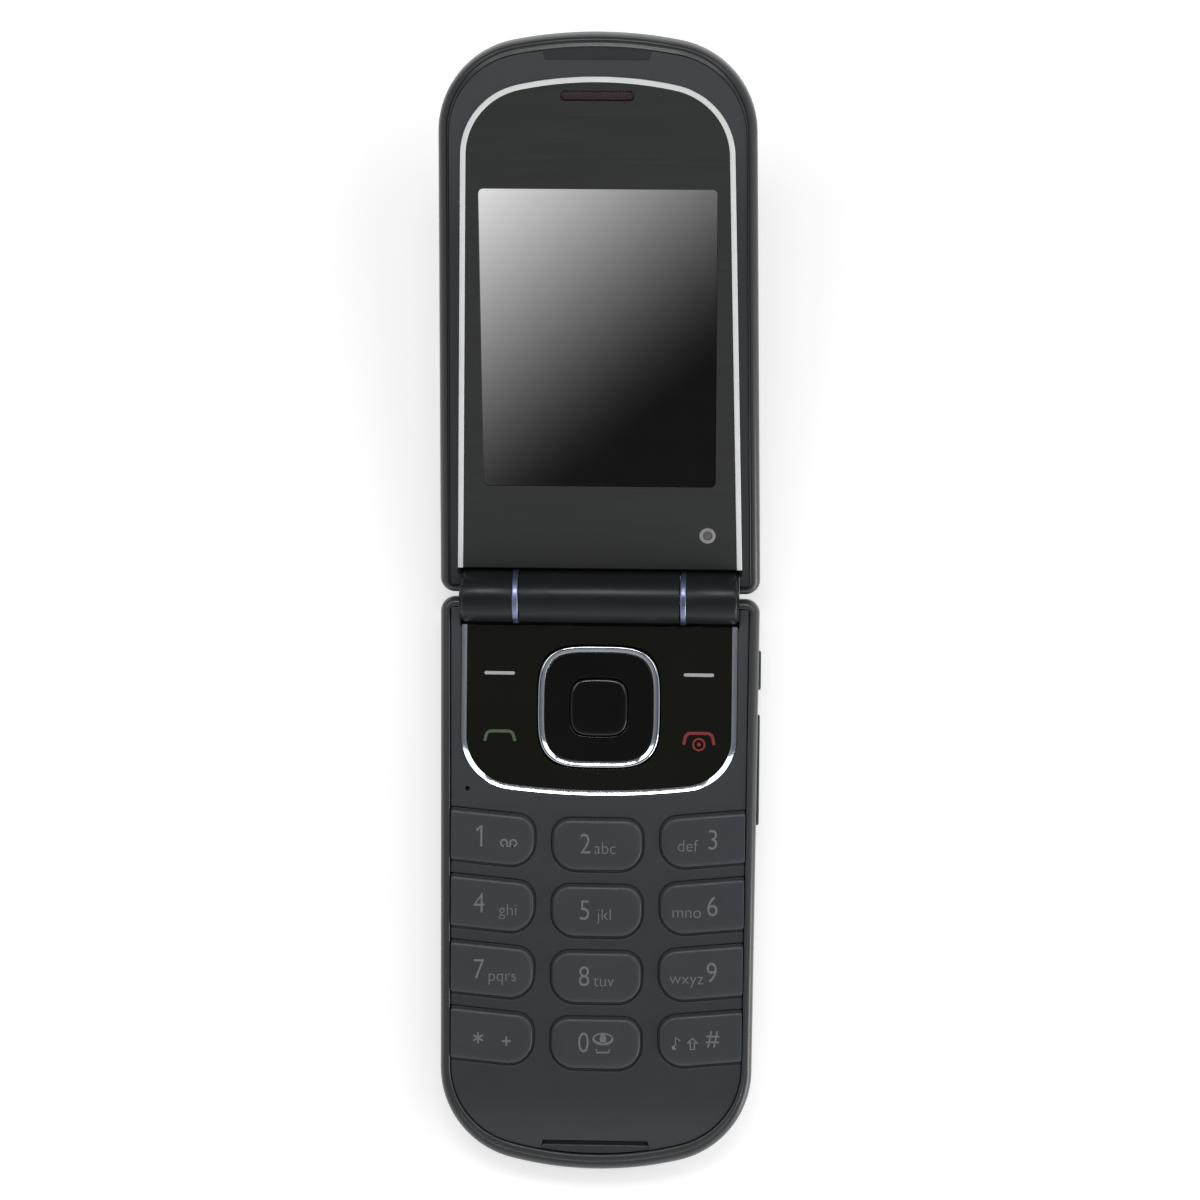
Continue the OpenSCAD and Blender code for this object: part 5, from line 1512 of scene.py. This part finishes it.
def add_extra_marks(bm, name, i):
    """The marks that some keys carry beside their figure."""
    if name == "key_1":
        y = key_baseline(i, -17.8)
        one = [(-17.5, y), (-17.5, y - 3.2), (-17.82, y - 3.2), (-18.5, y - 2.6), (-18.34, y - 2.3),
               (-17.82, y - 2.75), (-17.82, y)]
        add_mark(bm, [one], KEY_TOP)
        y = key_baseline(i, -13.5) - 0.95
        for x in (-14.2, -12.8):
            add_mark(bm, [circle((x, y), 0.62, 32), circle((x, y), 0.36, 32)], KEY_TOP)
        add_mark(bm, [[(-14.2, y + 0.38), (-12.8, y + 0.38), (-12.8, y + 0.62), (-14.2, y + 0.62)]], KEY_TOP)
    if name == "key_star":
        add_mark(bm, [star((-17.9, key_baseline(i, -17.9) - 1.05), 6, 0.85, 0.13)], KEY_TOP)
        add_mark(bm, [star((-13.6, key_baseline(i, -13.6) - 1.0), 4, 0.7, 0.14)], KEY_TOP)
    if name == "key_0":
        y = key_baseline(i, 0)
        add_mark(bm, [stroke_outline([(0.1, y - 0.5), (0.2, y), (2.0, y), (2.1, y - 0.5)], 0.24)], KEY_TOP)
        add_mark(bm, [oval((1.1, y - 2.05), 1.6, 0.95), oval((1.1, y - 2.15), 1.32, 0.62)], KEY_TOP)
        add_mark(bm, [oval((1.1, y - 2.1), 0.5, 0.72)], KEY_TOP)
    if name == "key_hash":
        add_words(bm, "#", 17.75, key_baseline(i, 17.5) - 0.45, KEY_TOP, HASH_SIZE, 0.95, 0.0)
        y = key_baseline(i, 14.7)
        arrow = [(14.7, y - 1.9), (15.6, y - 1.0), (15.1, y - 1.0), (15.1, y), (14.3, y), (14.3, y - 1.0),
                 (13.8, y - 1.0)]
        add_mark(bm, [arrow, offset(arrow, 0.18)], KEY_TOP)
        add_mark(bm, [circle((11.9, y - 0.3), 0.36, 24)], KEY_TOP)
        flag = stroke_outline([(12.16, y - 0.3), (12.16, y - 1.9), (12.5, y - 1.6), (12.85, y - 1.35)], 0.2)
        add_mark(bm, [flag], KEY_TOP)


def make_legends():
    """Figures and letters on the number keys."""
    for i, name in enumerate(KEY_NAMES):
        figure, letters = LEGENDS.get(name, ("", ""))
        column = i % 3
        bm = bmesh.new()
        x = DIGIT_X[column]
        if figure:
            add_words(bm, figure, x, key_baseline(i, x), KEY_TOP, DIGIT_SIZE, DIGIT_WIDTH, WORDS_THIN)
        if letters:
            x = LETTER_X[column] + LETTERS_IN.get(name, 0)
            add_words(bm, letters, x, key_baseline(i, x), KEY_TOP, LETTER_SIZE, LETTER_WIDTH, WORDS_THIN)
        add_extra_marks(bm, name, i)
        bmesh.ops.recalc_face_normals(bm, faces=bm.faces)
        mesh = as_mesh(bm, "legend")
        piece("legend_" + name[4:], mesh, PRINT_KEY, name, place=AT_HINGE)


def handset(x, y, legs):
    """Line of a telephone handset: a flat arch whose two ends turn down and out."""
    half = 2.3
    bend = arc((half - 1.05, 1.1), 0.85, -90, -15, 8)
    right = [(0, 0.25)] + bend + [(half, legs)]
    line = [(-a, b) for a, b in reversed(right[1:])] + right
    return stroke_outline([(x + a, y + b) for a, b in line], 0.46)


def make_function_marks():
    """Dashes of the soft keys, green call mark and red end mark."""
    for name, side, legs, finish in (("left", -1, 1.75, PRINT_GREEN), ("right", 1, 2.0, PRINT_RED)):
        x = side * 15.1
        dash = solid((add_mark, [rounded_box(x - 2.3, x + 2.3, 11.42, 11.92, 0.24)], FUNCTION_TOP))
        body = "function_key_" + name
        piece("soft_mark_" + name, dash, PRINT_LIGHT, body, place=AT_HINGE)
        marks = [(add_mark, [handset(x + 0.1, 20.25, legs)], FUNCTION_TOP)]
        if side > 0:
            spot = (x + 0.1, 22.2)
            ring = [circle(spot, 1.0, 40), circle(spot, 0.72, 40)]
            marks += [(add_mark, ring, FUNCTION_TOP), (add_mark, [circle(spot, 0.3, 24)], FUNCTION_TOP)]
        piece("call_mark_" + name, solid(*marks), finish, body, place=AT_HINGE)


def make_pip():
    """Raised bar on the front cover below the middle key, for the fingertip."""
    bar = rounded_box(-0.9, 0.9, 52.3, 52.75, 0.2)
    mesh = solid((add_plate, [bar], -COVER_DROP - 0.2, -COVER_DROP + 0.15, 0.12))
    piece("middle_pip", mesh, FACE_PLASTIC, "base")


# Inner pieces keep their solids and get their finish here

INNER_FINISHES = [
    (DOME_FILM, ["dome_sheet"]), (BOARD, ["main_board", "lid_board"]), (CELL_WRAP, ["battery"]),
    (GOLD_CONTACT, ["battery_contacts"]), (CABLE_FILM, ["hinge_flex"]),
    (STEEL, ["shield_can", "vibration_motor", "charging_socket", "hinge_shaft", "pivot_tube", "hinge_can",
             "cam_follower", "hinge_spring"]),
    (MODULE_CASE, ["loudspeaker", "antenna", "microphone", "main_display", "earpiece", "outer_display",
                   "camera_module"])]


def finish_inner_pieces():
    for finish, names in INNER_FINISHES:
        for name in names:
            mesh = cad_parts[name].data
            mesh.materials.clear()
            mesh.materials.append(finish)


# Floor, light and camera

VIEW_TURN = (0.03419, -0.04038, -0.00937)
VIEW_DISTANCE = 520.0
IMAGE = 1200
FOCAL = 3439.3
SENSOR = 36.0
MIDDLE_OFF = (-0.193, -2.975)


FLOOR_HALF = 6
FLOOR_Z = -0.0002
FLOOR_GLOW = 0.45


def make_floor():
    """Pale floor that keeps the shadow and looks white where the camera or a reflection sees it."""
    bm = bmesh.new()
    bmesh.ops.create_grid(bm, x_segments=1, y_segments=1, size=FLOOR_HALF)
    bmesh.ops.translate(bm, verts=bm.verts, vec=(0, 0, FLOOR_Z))
    floor = placed("floor", as_mesh(bm, "floor"))
    finish = Finish("floor_paper")
    finish.colour(finish.noise(3, 2), (0.80, 0.80, 0.80, 1), (0.82, 0.82, 0.82, 1))
    finish.set(Roughness=0.9, Specular_IOR_Level=0.0)
    path = finish.node("ShaderNodeLightPath").outputs
    seen = finish.math("MAXIMUM", path["Is Camera Ray"], path["Is Glossy Ray"])
    seen = finish.math("MAXIMUM", seen, path["Is Transmission Ray"])
    glow = finish.node("ShaderNodeEmission", [("Strength", finish.math("MULTIPLY", seen, FLOOR_GLOW))])
    both = finish.node("ShaderNodeAddShader", [(0, finish.shader), (1, glow)])
    finish.feed(finish.tree.nodes["Material Output"].inputs["Surface"], both)
    floor.data.materials.append(finish.material)


ZENITH = 0.06
HORIZON = 0.9
BRIGHT_SIDE = (0.2, -0.75, 0)


def make_sky():
    """Room light: pale low down, darker overhead, brighter in front and to the right."""
    world = bpy.data.worlds.new("room")
    bpy.context.scene.world = world
    world.use_nodes = True
    sky = Graph(world.node_tree)
    place = sky.node("ShaderNodeTexCoord").outputs["Generated"]
    height = sky.node("ShaderNodeSeparateXYZ", [(0, place)]).outputs["Z"]
    level = sky.map_range(height, (0, 1), (HORIZON, ZENITH))
    light = sky.node("ShaderNodeMath", [(0, level), (1, sky.dot(place, BRIGHT_SIDE)), (2, level)],
                     operation="MULTIPLY_ADD")
    background = world.node_tree.nodes["Background"].inputs
    sky.feed(background["Color"], (1, 1, 1, 1))
    sky.feed(background["Strength"], light)


# Name, place from the hinge and size in metres, and watts
LAMPS = [
    ("top_box", (0, 0.42, 0.93), (0.4, 0.17), 2.3),
    ("left_box", (-0.51, 0.32, 0.9), (0.46, 0.46), 1.75),
    ("right_box", (0.51, 0.32, 0.9), (0.46, 0.46), 1.75),
    ("right_low", (0.17, -0.11, 0.02), (0.12, 0.05), 0.14)]


def make_lamp(name, spot, size, watts):
    """Soft rectangular lamp that faces the hinge."""
    data = bpy.data.lights.new(name, "AREA")
    data.shape = "RECTANGLE"
    data.size, data.size_y = size
    data.energy = watts
    lamp = placed(name, data)
    lamp.location = AT_HINGE.translation + Vector(spot)
    lamp.rotation_euler = (-Vector(spot)).to_track_quat("-Z", "Y").to_euler()


def make_camera():
    """Camera at the photograph's place: almost square on, a little to the right."""
    about_x, about_y, about_z = VIEW_TURN
    turn = (Matrix.Rotation(about_z, 3, "Z") @ Matrix.Rotation(about_x, 3, "X")
            @ Matrix.Rotation(about_y, 3, "Y")).transposed()
    data = bpy.data.cameras.new("camera")
    data.sensor_width = SENSOR
    data.lens = SENSOR * FOCAL / IMAGE
    data.shift_x = -MIDDLE_OFF[0] / IMAGE
    data.shift_y = MIDDLE_OFF[1] / IMAGE
    data.clip_start = 0.01
    camera = placed("camera", data)
    spot = AT_HINGE @ (turn @ Vector((0, 0, VIEW_DISTANCE)))
    camera.matrix_world = Matrix.Translation(spot) @ turn.to_4x4()
    bpy.context.scene.camera = camera


make_camera()
make_rear_cover()
make_battery_cover()
make_lid_outer_cover()
make_front_cover()
make_lid_inner_cover()
make_bow_and_silver_line()
make_nav_key()
make_select_key()
make_function_keys()
make_number_keys()
make_side_key("volume_rocker_cap", ROCKER_Y, ROCKER_L, "volume_rocker")
make_side_key("shutter_key_cap", SHUTTER_Y, SHUTTER_L, "shutter_key")
make_barrel_ends()
make_barrel_middle()
make_barrel_rings()
make_display_panel()
make_display_window()
make_earpiece_cloth()
make_small_camera()
make_outside_of_lid()
make_screws()
make_legends()
make_function_marks()
make_pip()
finish_inner_pieces()
make_floor()
make_sky()
for lamp in LAMPS:
    make_lamp(*lamp)
bpy.context.scene.view_settings.view_transform = "Standard"
